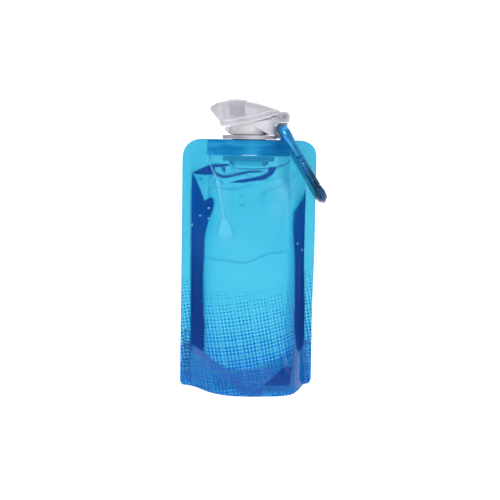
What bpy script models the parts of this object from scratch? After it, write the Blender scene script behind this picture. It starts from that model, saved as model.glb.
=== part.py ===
"""Collapsible water bottle: a flat film pouch with a base gusset, a welded
spout fitment, a frosted screw cap with a flip lid, and a carabiner.

Metres, +Z up, +X to the right, the front of the pouch faces -Y.
The origin is on the surface the bottle stands on, under the neck's axis.
Lengths in the constants below are in millimetres and are scaled by MM.
"""

import math

import bmesh
import bpy
from mathutils import Matrix, Vector

MM = 0.001

# ---- pouch ----------------------------------------------------------------
POUCH_H = 201.0            # height of the film walls
HALF_W_BOTTOM = 54.0       # half width over the side seals, at the base
HALF_W_TOP = 53.0          # and at the top
SEAL_W = 8.0               # width of each side seal
TOP_R = 11.5               # rounded top corners
BOTTOM_R = 4.0             # rounded bottom corners
FILM_T = 0.5               # thickness of a film wall
WELD_GAP = 0.15            # half of the gap between welded films
LAYER_GAP = 0.3            # gap between the walls and the fitment
GUSSET_GAP = 0.35          # gap between a wall and the gusset
GUSSET_H = 35.0            # height of the gusset fold at the side seals
GUSSET_MID_H = 7.0         # height of the bottom weld at mid width
BASE_HALF_D = 32.0         # the opened base, mid to front

# ---- spout fitment ---------------------------------------------------------
WELD_HALF_L = 33.0         # weld base, half length
WELD_HALF_T = 15.5         # weld base, half thickness
WELD_Z0 = 188.0            # weld base, underside
LOWER_RING_HALF_L = 21.0
LOWER_RING_Z0 = 184.0
TUBE_R = 14.0
TUBE_Z0 = 180.0
NECK_R = 13.2
NECK_BORE_R = 11.0
NECK_TOP = 212.0
THREAD_LEAD = 6.0          # two starts, 3 mm between ridges
THREAD_R = 0.75            # radius of a thread ridge's section

# ---- cap -------------------------------------------------------------------
RING_Z0 = 201.4            # tether ring, lies on the weld base round the neck
RING_Z1 = 204.5
RING_R = 21.45
CAP_Z0 = 205.0
COLLAR_R = 15.6
CAP_BORE_R = 14.75
DECK_Z0 = 213.8
DECK_Z1 = 216.0
SPOUT_X = -10.0
SPOUT_R = 6.95
SPOUT_Z0 = 219.6
SPOUT_Z1 = 228.8
HINGE_X, HINGE_Z = 27.0, 219.3
PIN_R = 1.2
TOWER_HALF_Y = 7.0
STRUT_HALF_Y = 15.9
STRUT_X = 19.3             # the strut stays inside this radius, clear of the eyelet
EYE_X, EYE_Z = 25.3, 209.9
EYE_R = 3.25
EYE_OUTER_R = 4.3            # low enough for the closed lid to pass over it
EYE_HALF_Y = 2.6

# ---- lid -------------------------------------------------------------------
LID_WALL = 1.3

# ---- carabiner ---------------------------------------------------------------
CARA_TILT = 58.0           # rotation about Y: it hangs 32 degrees off plumb
ROD_R = 2.9
CARA_HALF_W = 14.0         # middle of a bar to the long axis
CARA_END = 66.0            # middle of the lower bend from the eyelet
GATE_PIVOT_S = 28.0
GATE_END_S = 52.3
LATCH_S = 50.25


for old in list(bpy.data.objects):
    bpy.data.objects.remove(old, do_unlink=True)

PARTS = bpy.data.collections.new("collapsible_water_bottle")
CUTTERS = bpy.data.collections.new("cutters")
bpy.context.scene.collection.children.link(PARTS)
bpy.context.scene.collection.children.link(CUTTERS)


# ---- helpers ---------------------------------------------------------------
def material(name, colour, roughness, metallic=0.0, alpha=1.0):
    mat = bpy.data.materials.new(name)
    mat.use_nodes = True
    bsdf = mat.node_tree.nodes["Principled BSDF"]
    bsdf.inputs["Base Color"].default_value = (*colour, 1.0)
    bsdf.inputs["Roughness"].default_value = roughness
    bsdf.inputs["Metallic"].default_value = metallic
    bsdf.inputs["Alpha"].default_value = alpha
    mat.diffuse_color = (*colour, alpha)
    return mat


def link(obj, collection):
    for used in list(obj.users_collection):
        used.objects.unlink(obj)
    collection.objects.link(obj)


def new_object(name, mesh, collection=PARTS, mat=None):
    obj = bpy.data.objects.new(name, mesh)
    collection.objects.link(obj)
    if mat is not None:
        mesh.materials.clear()
        mesh.materials.append(mat)
    return obj


def smooth_mesh(obj, angle=35.0):
    obj.data.shade_smooth()
    obj.data.set_sharp_from_angle(angle=math.radians(angle))


def smoothstep(a, b, x):
    t = min(1.0, max(0.0, (x - a) / (b - a)))
    return t * t * (3.0 - 2.0 * t)


def lathe(name, profile, steps, collection=PARTS, mat=None, at=(0.0, 0.0)):
    """A turned piece: profile is (radius, z) in mm, down the outer side."""
    bm = bmesh.new()
    verts = [bm.verts.new((r * MM, 0.0, z * MM)) for r, z in profile]
    for a, b in zip(verts, verts[1:]):
        bm.edges.new((a, b))
    mesh = bpy.data.meshes.new(name)
    bm.to_mesh(mesh)
    bm.free()
    obj = new_object(name, mesh, collection, mat)
    obj.location = (at[0] * MM, at[1] * MM, 0.0)
    screw = obj.modifiers.new("turn", "SCREW")
    screw.steps = steps
    screw.render_steps = steps
    screw.axis = "Z"
    screw.use_merge_vertices = True
    screw.merge_threshold = 0.00001
    return obj


def ring(name, profile, steps, collection=PARTS, mat=None, at=(0.0, 0.0)):
    """A turned ring: the profile closes on itself and stays off the axis."""
    return lathe(name, list(profile) + [profile[0]], steps, collection, mat, at)


def weld_start(obj):
    """A ring's first and last profile points are one point."""
    bm = bmesh.new()
    bm.from_mesh(obj.data)
    bmesh.ops.remove_doubles(bm, verts=bm.verts, dist=0.00001)
    bm.to_mesh(obj.data)
    bm.free()
    return obj


def cylinder(name, r, p0, p1, steps=32, collection=CUTTERS, mat=None, r2=None):
    """A cylinder or cone between two points in mm."""
    a = Vector(p0) * MM
    b = Vector(p1) * MM
    bm = bmesh.new()
    bmesh.ops.create_cone(
        bm, cap_ends=True, segments=steps, radius1=r * MM,
        radius2=(r if r2 is None else r2) * MM, depth=(b - a).length)
    turn = Vector((0, 0, 1)).rotation_difference((b - a).normalized())
    bm.transform(Matrix.Translation((a + b) / 2) @ turn.to_matrix().to_4x4())
    mesh = bpy.data.meshes.new(name)
    bm.to_mesh(mesh)
    bm.free()
    return new_object(name, mesh, collection, mat)


def block(name, low, high, collection=CUTTERS, mat=None):
    bm = bmesh.new()
    bmesh.ops.create_cube(bm, size=1.0)
    size = [(h - l) * MM for l, h in zip(low, high)]
    mid = [(h + l) / 2 * MM for l, h in zip(low, high)]
    bm.transform(Matrix.Translation(mid) @ Matrix.Diagonal((*size, 1.0)))
    mesh = bpy.data.meshes.new(name)
    bm.to_mesh(mesh)
    bm.free()
    return new_object(name, mesh, collection, mat)


def curve_to_mesh(curve_obj, collection=PARTS, mat=None):
    """The curve's evaluated mesh, with its caps welded on."""
    bpy.context.view_layer.update()
    graph = bpy.context.evaluated_depsgraph_get()
    name = curve_obj.name
    mesh = bpy.data.meshes.new_from_object(curve_obj.evaluated_get(graph))
    place = curve_obj.matrix_world.copy()
    bpy.data.objects.remove(curve_obj, do_unlink=True)
    bm = bmesh.new()
    bm.from_mesh(mesh)
    bmesh.ops.remove_doubles(bm, verts=bm.verts, dist=0.000002)
    bmesh.ops.recalc_face_normals(bm, faces=bm.faces)
    bm.to_mesh(mesh)
    bm.free()
    obj = new_object(name, mesh, collection, mat)
    obj.matrix_world = place
    return obj


def outline(name, points, low, high, plane="XZ", collection=CUTTERS, mat=None):
    """A flat outline in mm, extruded from low to high across its plane."""
    curve = bpy.data.curves.new(name, "CURVE")
    curve.dimensions = "2D"
    curve.fill_mode = "BOTH"
    curve.extrude = (high - low) / 2 * MM
    spline = curve.splines.new("POLY")
    spline.points.add(len(points) - 1)
    for point, (x, y) in zip(spline.points, points):
        point.co = (x * MM, y * MM, 0.0, 1.0)
    spline.use_cyclic_u = True
    obj = bpy.data.objects.new(name, curve)
    CUTTERS.objects.link(obj)
    mid = (high + low) / 2 * MM
    if plane == "XZ":
        obj.matrix_world = Matrix.Translation((0, mid, 0)) @ Matrix.Rotation(
            math.radians(90), 4, "X")
    else:
        obj.matrix_world = Matrix.Translation((0, 0, mid))
    solid = curve_to_mesh(obj, collection, mat)
    solid.data.transform(solid.matrix_world)
    solid.matrix_world = Matrix.Identity(4)
    return solid


def tube(name, points, radius, resolution=2, collection=PARTS, mat=None,
         cyclic=False):
    """A round rod along points in mm."""
    curve = bpy.data.curves.new(name, "CURVE")
    curve.dimensions = "3D"
    curve.bevel_depth = radius * MM
    curve.bevel_resolution = resolution
    curve.use_fill_caps = not cyclic
    spline = curve.splines.new("POLY")
    spline.points.add(len(points) - 1)
    for point, co in zip(spline.points, points):
        point.co = (co[0] * MM, co[1] * MM, co[2] * MM, 1.0)
    spline.use_cyclic_u = cyclic
    obj = bpy.data.objects.new(name, curve)
    collection.objects.link(obj)
    return curve_to_mesh(obj, collection, mat)


def boolean(obj, other, operation):
    """Cut obj with other, or join other to it."""
    if other.name in PARTS.objects:
        link(other, CUTTERS)
    other.hide_render = True
    other.display_type = "WIRE"
    mod = obj.modifiers.new(operation.lower() + "_" + other.name, "BOOLEAN")
    mod.operation = operation
    mod.object = other
    mod.solver = "EXACT"
    return obj


def join(obj, other):
    return boolean(obj, other, "UNION")


def cut(obj, other):
    return boolean(obj, other, "DIFFERENCE")


def arc(cx, cy, r, a0, a1, n):
    return [(cx + r * math.cos(math.radians(a0 + (a1 - a0) * i / n)),
             cy + r * math.sin(math.radians(a0 + (a1 - a0) * i / n)))
            for i in range(n + 1)]


# ---- materials -------------------------------------------------------------
FILM = material("tinted_film", (0.09, 0.52, 0.83), 0.12, alpha=0.6)
GUSSET = material("gusset_film", (0.05, 0.36, 0.72), 0.14, alpha=0.6)
FITMENT = material("blue_translucent_plastic", (0.02, 0.24, 0.52), 0.3)
FROSTED = material("frosted_plastic", (0.74, 0.74, 0.78), 0.38)
RING_MAT = material("ring_plastic", (0.62, 0.59, 0.66), 0.38)
LID_MAT = material("frosted_lid_plastic", (0.78, 0.78, 0.81), 0.35)
SILICONE = material("grey_silicone", (0.42, 0.47, 0.55), 0.5)
SEAL = material("white_silicone", (0.80, 0.81, 0.83), 0.55)
BLUE_METAL = material("blue_anodised_aluminium", (0.02, 0.26, 0.52), 0.3, 0.9)
STEEL = material("stainless_steel", (0.62, 0.62, 0.63), 0.25, 1.0)


# ---- the pouch's form, in mm ------------------------------------------------
def half_width(z):
    return HALF_W_BOTTOM + (HALF_W_TOP - HALF_W_BOTTOM) * z / POUCH_H


def top_edge(x):
    """Height of the film's top edge, with its rounded corners."""
    over = abs(x) - (HALF_W_TOP - TOP_R)
    if over <= 0.0:
        return POUCH_H
    return POUCH_H - TOP_R + math.sqrt(max(0.0, TOP_R ** 2 - over ** 2))


def bottom_edge(x):
    over = abs(x) - (HALF_W_BOTTOM - BOTTOM_R)
    if over <= 0.0:
        return 0.0
    return BOTTOM_R - math.sqrt(max(0.0, BOTTOM_R ** 2 - over ** 2))


def weld_base_half(x):
    """Half thickness of the boat-shaped weld base."""
    u = min(1.0, abs(x) / WELD_HALF_L)
    return WELD_HALF_T * (1.0 - u * u) ** 0.9


def mid_bulge(z):
    """Half depth of the filled pouch on its middle line."""
    return 32.0 - 4.0 * smoothstep(30.0, 110.0, z) - 12.0 * smoothstep(
        95.0, 190.0, z)


def wall_gap(x, z):
    """Front wall's inner face from the mid plane; the back is its mirror."""
    inner = HALF_W_BOTTOM - SEAL_W
    u = min(1.0, abs(x) / inner)
    body = mid_bulge(z) * (1.0 - u ** 2.3) ** 0.75
    ub = min(1.0, abs(x) / 50.0)
    base = BASE_HALF_D * (1.0 - ub * ub) ** 0.8
    top = weld_base_half(x)
    top += LAYER_GAP * min(1.0, top) - WELD_GAP * min(1.0, top)
    wt = smoothstep(138.0, WELD_Z0 - 3.0, z)
    wb = smoothstep(46.0, 4.0, z)
    bulge = body * (1.0 - wt) + top * wt
    bulge = bulge * (1.0 - wb) + base * wb
    layers = (FILM_T + GUSSET_GAP) * smoothstep(
        GUSSET_H + 17.0, GUSSET_H + 1.5, z)
    return WELD_GAP + layers + bulge


def columns():
    """Even columns over the middle, closer at the rounded corners."""
    xs = [5.0 * i for i in range(0, 6)] + [29.0, 32.0, 35.5, 39.5, 43.0, 46.5,
                                           49.5, 52.2, HALF_W_BOTTOM]
    return [-x for x in reversed(xs[1:])] + xs


def row_heights():
    return [0.0, 4.0, 9.0, 16.0, 24.0, 31.0, 36.5, 43.0, 52.0, 70.0, 92.0,
            114.0, 134.0, 150.0, 165.0, 177.0, 187.0, 201.0]


def film_wall(name, side, mat):
    """A grid bent to the wall's form; side is -1 in front, +1 behind."""
    xs = columns()
    zs = row_heights()
    bm = bmesh.new()
    bmesh.ops.create_grid(bm, x_segments=len(xs) - 1, y_segments=len(zs) - 1,
                          size=1.0)
    for v in bm.verts:
        i = round((v.co.x + 1.0) / 2.0 * (len(xs) - 1))
        j = round((v.co.y + 1.0) / 2.0 * (len(zs) - 1))
        x0 = xs[i]
        low, high = bottom_edge(x0), top_edge(x0 * HALF_W_TOP / HALF_W_BOTTOM)
        z = low + (high - low) * zs[j] / POUCH_H
        x = x0 * half_width(z) / HALF_W_BOTTOM
        y = -wall_gap(x, z)
        if side > 0:
            x, y = -x, -y
        v.co = (x * MM, y * MM, z * MM)
    mesh = bpy.data.meshes.new(name)
    bm.to_mesh(mesh)
    bm.free()
    obj = new_object(name, mesh, mat=mat)
    solid = obj.modifiers.new("film", "SOLIDIFY")
    solid.thickness = FILM_T * MM
    solid.offset = 1.0
    smooth_mesh(obj, 40)
    return obj


def bottom_weld(x):
    """Height of the weld between wall and gusset."""
    u = min(1.0, abs(x) / (HALF_W_BOTTOM - SEAL_W))
    return GUSSET_MID_H + (GUSSET_H - GUSSET_MID_H) * u ** 2.2


def gusset_mid(x):
    """Height of the gusset's middle line: flat on the floor, up at the seals."""
    u = min(1.0, abs(x) / (HALF_W_BOTTOM - SEAL_W))
    return FILM_T + (GUSSET_H - FILM_T) * smoothstep(0.45, 1.0, u) ** 1.4


def wall_inside(x, z):
    """The wall's inner face at the column that starts at x on the base."""
    return wall_gap(x * half_width(z) / HALF_W_BOTTOM, z)


def gusset_row(x, t):
    """Point of the gusset's upper face: t runs -1 front edge to +1 back edge."""
    side = -1.0 if t < 0 else 1.0
    a = abs(t)                       # 1 at the wall's bottom edge, 0 mid
    weld = bottom_weld(x)
    if a >= 0.7:
        z = bottom_edge(x) + (weld - bottom_edge(x)) * (1.0 - a) / 0.3
        y = wall_inside(x, z) - GUSSET_GAP
    else:
        y0 = wall_inside(x, weld) - GUSSET_GAP
        k = a / 0.7
        y = y0 * k
        mid = gusset_mid(x)
        z = mid + (weld - mid) * smoothstep(0.42, 1.0, k) ** 1.15
    return side * y, z


def gusset(name, mat):
    xs = columns()
    ts = [-1.0, -0.94, -0.88, -0.82, -0.76, -0.7, -0.61, -0.5, -0.4, -0.29]
    ts = ts + [0.0] + [-t for t in reversed(ts)]
    bm = bmesh.new()
    bmesh.ops.create_grid(bm, x_segments=len(xs) - 1, y_segments=len(ts) - 1,
                          size=1.0)
    for v in bm.verts:
        i = round((v.co.x + 1.0) / 2.0 * (len(xs) - 1))
        j = round((v.co.y + 1.0) / 2.0 * (len(ts) - 1))
        y, z = gusset_row(xs[i], ts[j])
        x = xs[i] * half_width(z) / HALF_W_BOTTOM
        v.co = (x * MM, y * MM, z * MM)
    mesh = bpy.data.meshes.new(name)
    bm.to_mesh(mesh)
    bm.free()
    obj = new_object(name, mesh, mat=mat)
    solid = obj.modifiers.new("film", "SOLIDIFY")
    solid.thickness = FILM_T * MM
    solid.offset = -1.0
    smooth_mesh(obj, 40)
    return obj


film_wall("front_film_panel", -1, FILM)
film_wall("back_film_panel", 1, FILM)
gusset("base_gusset_panel", GUSSET)


# ---- thread ridges -----------------------------------------------------------
def ridge(name, radius, z0, turns, start, lead):
    """One thread ridge: a thin round section along a helix."""
    n = int(30 * turns)
    points = []
    for i in range(n + 1):
        a = math.radians(start) + 2.0 * math.pi * turns * i / n
        points.append((radius * math.cos(a), radius * math.sin(a),
                       z0 + lead * turns * i / n))
    return tube(name, points, THREAD_R, 1, CUTTERS)


# ---- spout fitment -------------------------------------------------------------
def weld_outline(half_l, cap_at):
    xs = [x for x in columns() if abs(x) < cap_at]
    front = [(x, -weld_base_half(x)) for x in xs]
    back = [(x, weld_base_half(x)) for x in reversed(xs)]
    return front + back


def oval_outline(half_l, half_t, n):
    return [(half_l * math.cos(2 * math.pi * i / n),
             half_t * math.sin(2 * math.pi * i / n)) for i in range(n)]


fitment = outline("spout_fitment", weld_outline(WELD_HALF_L, 32.9), WELD_Z0,
                  POUCH_H, "XY", PARTS, FITMENT)
lower = outline("fitment_lower_ring", oval_outline(LOWER_RING_HALF_L, 14.6, 40),
                LOWER_RING_Z0, WELD_Z0 + 1.0, "XY")
tube_low = cylinder("fitment_tube", TUBE_R, (0, 0, TUBE_Z0),
                    (0, 0, LOWER_RING_Z0 + 1.5), 40)
neck = cylinder("fitment_neck", NECK_R, (0, 0, POUCH_H - 1.0), (0, 0, NECK_TOP), 48)
join(fitment, lower)
join(fitment, tube_low)
join(fitment, neck)
cut(fitment, cylinder("fitment_bore", NECK_BORE_R, (0, 0, TUBE_Z0 - 2),
                      (0, 0, NECK_TOP + 2), 40))
for k in range(2):
    join(fitment, ridge(f"neck_ridge_{k}", NECK_R + 0.3, 204.8, 1.0, 20 + 180 * k,
                        THREAD_LEAD))
smooth_mesh(fitment, 35)


# ---- gasket --------------------------------------------------------------------
seal = weld_start(ring("cap_seal_ring", [
    (14.1, 213.4), (14.1, 212.4), (11.2, 212.4), (11.2, 213.4)], 40, PARTS, SEAL))
smooth_mesh(seal, 35)


# ---- tether ring with the carabiner's eyelet ------------------------------------
tether = weld_start(ring("tether_ring", [
    (CAP_BORE_R, RING_Z1), (RING_R - 0.5, RING_Z1), (RING_R, RING_Z1 - 0.5),
    (RING_R, RING_Z0 + 0.4), (RING_R - 0.4, RING_Z0), (CAP_BORE_R, RING_Z0)], 44,
    PARTS, RING_MAT))
eye_tab = outline("eyelet_tab", (
    [(16.6, 202.0), (22.5, 202.0), (28.4, 205.2)]
    + arc(EYE_X, EYE_Z, EYE_OUTER_R, -50, 180, 12)
    + [(20.0, RING_Z1 - 0.2), (16.6, RING_Z1 - 0.2)]), -EYE_HALF_Y, EYE_HALF_Y)
join(tether, eye_tab)
cut(tether, cylinder("eyelet_hole", EYE_R, (EYE_X, -9, EYE_Z), (EYE_X, 9, EYE_Z), 28))
smooth_mesh(tether, 35)


# ---- cap body --------------------------------------------------------------------
cap = lathe("cap_body", [
    (0.0, DECK_Z1), (COLLAR_R - 0.9, DECK_Z1), (COLLAR_R, DECK_Z1 - 0.9),
    (COLLAR_R, CAP_Z0 + 0.4), (COLLAR_R - 0.4, CAP_Z0), (CAP_BORE_R - 0.6, CAP_Z0),
    (CAP_BORE_R - 0.6, DECK_Z0), (0.0, DECK_Z0)], 48, PARTS, FROSTED)

strut = outline("tower_strut", [
    (0.6, 212.4), (13.2, 205.7), (STRUT_X + 1, 205.7), (STRUT_X + 1, 217.6),
    (0.6, 214.6)], -STRUT_HALF_Y, STRUT_HALF_Y)
boolean(strut, cylinder("strut_sweep", STRUT_X, (0, 0, 204.0), (0, 0, 219.0), 56),
        "INTERSECT")
tower = outline("hinge_tower", (
    [(6.0, 212.9), (14.2, 212.9), (18.2, 215.9), (29.4, 215.9)]
    + arc(HINGE_X + 0.4, HINGE_Z, 4.1, -40, 125, 9)
    + [(20.4, 219.4), (15.0, 216.8), (6.0, 215.2)]), -TOWER_HALF_Y, TOWER_HALF_Y)
join(cap, strut)
join(cap, tower)
join(cap, cylinder("spout_shoulder", 6.3, (SPOUT_X, 0, DECK_Z0 + 1),
                   (SPOUT_X, 0, SPOUT_Z0 - 0.3), 32))
join(cap, cylinder("spout_stub", 5.2, (SPOUT_X, 0, DECK_Z0 + 1),
                   (SPOUT_X, 0, 224.0), 32))
cut(cap, cylinder("cap_bore", CAP_BORE_R, (0, 0, CAP_Z0 - 2), (0, 0, DECK_Z0), 48))
cut(cap, cylinder("spout_passage", 3.7, (SPOUT_X, 0, DECK_Z0 - 1.5),
                  (SPOUT_X, 0, 226.0), 24))
for k in range(2):
    join(cap, ridge(f"cap_ridge_{k}", CAP_BORE_R - 0.3, 206.3, 0.9, 20 + 180 * k,
                    THREAD_LEAD))
cut(cap, cylinder("tower_pin_hole", PIN_R + 0.3, (HINGE_X, -9, HINGE_Z),
                  (HINGE_X, 9, HINGE_Z), 20))
smooth_mesh(cap, 35)


# ---- drinking spout ---------------------------------------------------------------
spout = weld_start(ring("drinking_spout", [
    (4.3, SPOUT_Z1), (5.9, SPOUT_Z1), (6.6, SPOUT_Z1 - 0.8), (6.5, SPOUT_Z1 - 2.4),
    (6.2, SPOUT_Z1 - 3.4), (6.6, SPOUT_Z0 + 3.0), (SPOUT_R, SPOUT_Z0 + 1.2),
    (SPOUT_R, SPOUT_Z0), (5.5, SPOUT_Z0), (5.5, 224.4), (4.0, 224.4),
    (3.8, SPOUT_Z1 - 1.8)], 40, PARTS, SILICONE, (SPOUT_X, 0.0)))
smooth_mesh(spout, 35)


# ---- flip lid ---------------------------------------------------------------------
def table(points, x):
    """Straight-line reading of a short design table."""
    if x <= points[0][0]:
        return points[0][1]
    for (x0, y0), (x1, y1) in zip(points, points[1:]):
        if x <= x1:
            return y0 + (y1 - y0) * (x - x0) / (x1 - x0)
    return points[-1][1]


LID_TOP = [(-31.4, 225.6), (-29.6, 227.6), (-23.9, 230.2), (-18.2, 231.9),
           (-11.7, 232.7), (-5.1, 232.3), (-1.9, 231.5), (4.6, 229.8),
           (12.8, 227.4), (22.6, 224.5)]
LID_RIM = [(-31.4, 223.8), (-28.8, 221.3), (-24.7, 216.4), (-21.8, 211.3),
           (-15.0, 211.4), (-6.4, 213.6), (7.1, 216.4), (17.3, 219.9),
           (22.6, 221.6)]
LID_HALF_W = [(-31.4, 2.0), (-29.6, 4.4), (-26.5, 6.4), (-22.0, 8.0),
              (-18.5, 12.0), (-15.0, 15.8), (-12.0, 17.0), (-8.0, 17.6), (4.0, 17.5), (12.0, 15.0),
              (18.0, 12.2), (22.6, 10.6)]


def flip_lid():
    """A hood lofted over arched sections, open underneath and at the rear."""
    xs = [-31.4, -30.6, -29.6, -28.2, -26.5, -24.7, -21.8, -18.5, -15.0, -11.0,
          -6.4, -2.0, 2.5, 7.1, 12.0, 17.3, 20.2, 22.6]
    n = 14
    bm = bmesh.new()
    bmesh.ops.create_grid(bm, x_segments=len(xs) - 1, y_segments=n, size=1.0)
    for v in bm.verts:
        i = round((v.co.x + 1.0) / 2.0 * (len(xs) - 1))
        a = (v.co.y + 1.0) / 2.0 * math.pi      # 0 at -Y rim, pi at +Y rim
        x = xs[i]
        w = table(LID_HALF_W, x)
        top, rim = table(LID_TOP, x), table(LID_RIM, x)
        c, s = -math.cos(a), math.sin(a)
        y = w * math.copysign(abs(c) ** 0.72, c)
        z = rim + (top - rim) * s ** 0.62
        v.co = (x * MM, y * MM, z * MM)
    nose = [v for v in bm.verts if v.co.x < (xs[0] + 0.01) * MM]
    nose.sort(key=lambda v: v.co.y)
    bm.faces.new(nose)
    bmesh.ops.recalc_face_normals(bm, faces=bm.faces)
    top_face = max(bm.faces, key=lambda f: f.calc_center_median().z)
    if top_face.normal.z < 0:
        bmesh.ops.reverse_faces(bm, faces=bm.faces)
    mesh = bpy.data.meshes.new("flip_lid")
    bm.to_mesh(mesh)
    bm.free()
    obj = new_object("flip_lid", mesh, mat=LID_MAT)
    solid = obj.modifiers.new("wall", "SOLIDIFY")
    solid.thickness = LID_WALL * MM
    solid.offset = -1.0
    solid.use_even_offset = False
    return obj


lid = flip_lid()
for k, (y0, y1) in enumerate(((-10.0, -7.35), (7.35, 10.0))):
    ear = outline(f"lid_ear_{k}",
                  arc(HINGE_X, HINGE_Z, 3.3, -110, 70, 8)
                  + [(22.4, 223.7), (14.0, 225.6), (13.0, 220.2), (20.0, 219.8)],
                  y0, y1)
    join(lid, ear)
join(lid, cylinder("plug_stub", 2.3, (SPOUT_X, 0, 228.3), (SPOUT_X, 0, 231.9), 20))
cut(lid, cylinder("ear_pin_hole", PIN_R + 0.3, (HINGE_X, -11, HINGE_Z),
                  (HINGE_X, 11, HINGE_Z), 20))
smooth_mesh(lid, 40)

plug = weld_start(ring("lid_plug_seal", [
    (2.65, 229.8), (5.6, 229.8), (6.0, 229.5), (6.0, 229.1), (3.4, 229.1),
    (3.2, 227.3), (1.2, 227.3), (1.2, 228.0), (2.65, 228.0)], 32, PARTS, SEAL,
    (SPOUT_X, 0.0)))
smooth_mesh(plug, 35)

pin = cylinder("lid_hinge_pin", PIN_R, (HINGE_X, -9.7, HINGE_Z),
               (HINGE_X, 9.7, HINGE_Z), 20, PARTS, STEEL)
smooth_mesh(pin, 35)


# ---- carabiner, modelled flat: +X along it from the eyelet, +Y across ----------------
CARA = Matrix.Translation((EYE_X * MM, 0.0, EYE_Z * MM)) @ Matrix.Rotation(
    math.radians(CARA_TILT), 4, "Y")
R, H, E = ROD_R, CARA_HALF_W, CARA_END


def carabiner_rail():
    path = [(24.0, -H, 0.0), (19.0, -H, 0.0)]
    path += [(x, y, 0.0) for x, y in arc(H, 0.0, H, 270, 90, 14)]
    path += [(26.0, H, 0.0), (38.0, H, 0.0)]
    path += [(x, y, 0.0) for x, y in arc(E - H, 0.0, H, 90, -86, 14)]
    return path


def in_place(obj):
    """Turn a flat carabiner piece onto the eyelet."""
    obj.matrix_world = CARA
    return obj


body = in_place(tube("carabiner_body", carabiner_rail(), R, 2, PARTS, BLUE_METAL))
cam = []
for k in range(-4, 6):               # its flank pushes the plunger as the gate opens
    phi = 18.0 * k
    reach = 2.5 + 0.7 * smoothstep(18.0, 38.0, phi)
    cam.append((GATE_PIVOT_S + reach * math.cos(math.radians(phi)),
                -H + min(2.45, reach * math.sin(math.radians(phi)))))
tongue_pts = [(22.0, -H - 2.3), (27.0, -H - 2.3)] + cam + [(22.0, -H + 2.3)]
join(body, in_place(outline("pivot_tongue", tongue_pts, -1.0, 1.0, "XY")))
nose_pts = [(LATCH_S + 4.75, -H - 2.2), (LATCH_S + 4.75, -H + 2.2),
            (LATCH_S + 1.35, -H + 2.2), (LATCH_S + 1.35, -H - 1.1),
            (LATCH_S - 1.35, -H - 1.1), (LATCH_S - 1.35, -H + 0.5),
            (LATCH_S - 2.25, -H + 0.5), (LATCH_S - 2.85, -H - 0.2),
            (LATCH_S - 2.85, -H - 2.2)]
join(body, in_place(outline("nose_hook", nose_pts, -1.0, 1.0, "XY")))
cut(body, in_place(cylinder("pivot_hole", 1.15, (GATE_PIVOT_S, -H, -4),
                            (GATE_PIVOT_S, -H, 4), 16)))
smooth_mesh(body, 40)

gate = in_place(cylinder("carabiner_gate", 2.8, (25.2, -H, 0),
                         (GATE_END_S, -H, 0), 20, PARTS, BLUE_METAL))
round_end = outline("gate_round_end",
                    [(24.0, -H - 4), (24.0, -H + 4), (GATE_PIVOT_S, -H + 4)]
                    + arc(GATE_PIVOT_S, -H, 2.8, 90, 270, 8)
                    + [(GATE_PIVOT_S, -H - 4)], -4, 4, "XY")
cut(gate, in_place(round_end))
cut(gate, in_place(block("gate_fork", (24.0, -H - 4, -1.3),
                         (31.8, -H + 4, 1.3))))
cut(gate, in_place(block("gate_latch_slot", (LATCH_S - 3.65, -H - 4, -1.3),
                         (LATCH_S + 3.75, -H + 4, 1.3))))
cut(gate, in_place(cylinder("gate_spring_bore", 1.45, (30.0, -H, 0),
                            (43.0, -H, 0), 16)))
cut(gate, in_place(cylinder("gate_pivot_bore", 1.15, (GATE_PIVOT_S, -H, -4),
                            (GATE_PIVOT_S, -H, 4), 16)))
cut(gate, in_place(cylinder("gate_latch_bore", 1.05, (LATCH_S, -H, -4),
                            (LATCH_S, -H, 4), 16)))
smooth_mesh(gate, 40)

pivot = in_place(cylinder("gate_pivot_pin", 0.85, (GATE_PIVOT_S, -H, -2.75),
                          (GATE_PIVOT_S, -H, 2.75), 16, PARTS, STEEL))
latch = in_place(cylinder("gate_latch_pin", 0.75, (LATCH_S, -H, -2.4),
                          (LATCH_S, -H, 2.4), 16, PARTS, STEEL))
follower = in_place(lathe("gate_plunger", [
    (0.0, 6.0), (0.9, 6.0), (1.1, 5.8), (1.1, 1.2), (0.7, 0.3), (0.0, 0.0)], 16,
    PARTS, STEEL))
follower.matrix_world = CARA @ Matrix.Translation(
    (30.85 * MM, -H * MM, 0.0)) @ Matrix.Rotation(math.radians(90), 4, "Y")

coil = []
TURNS, PER = 6, 9
for i in range(TURNS * PER + 1):
    a = 2.0 * math.pi * i / PER
    coil.append((37.3 + 5.2 * i / (TURNS * PER), -H + 0.95 * math.cos(a),
                 0.95 * math.sin(a)))
in_place(tube("gate_spring", coil, 0.2, 1, PARTS, STEEL))

for obj in (pivot, latch, follower):
    smooth_mesh(obj, 35)
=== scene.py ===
import math

import bmesh
import bpy
import numpy as np
from mathutils import Matrix, Vector


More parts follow.
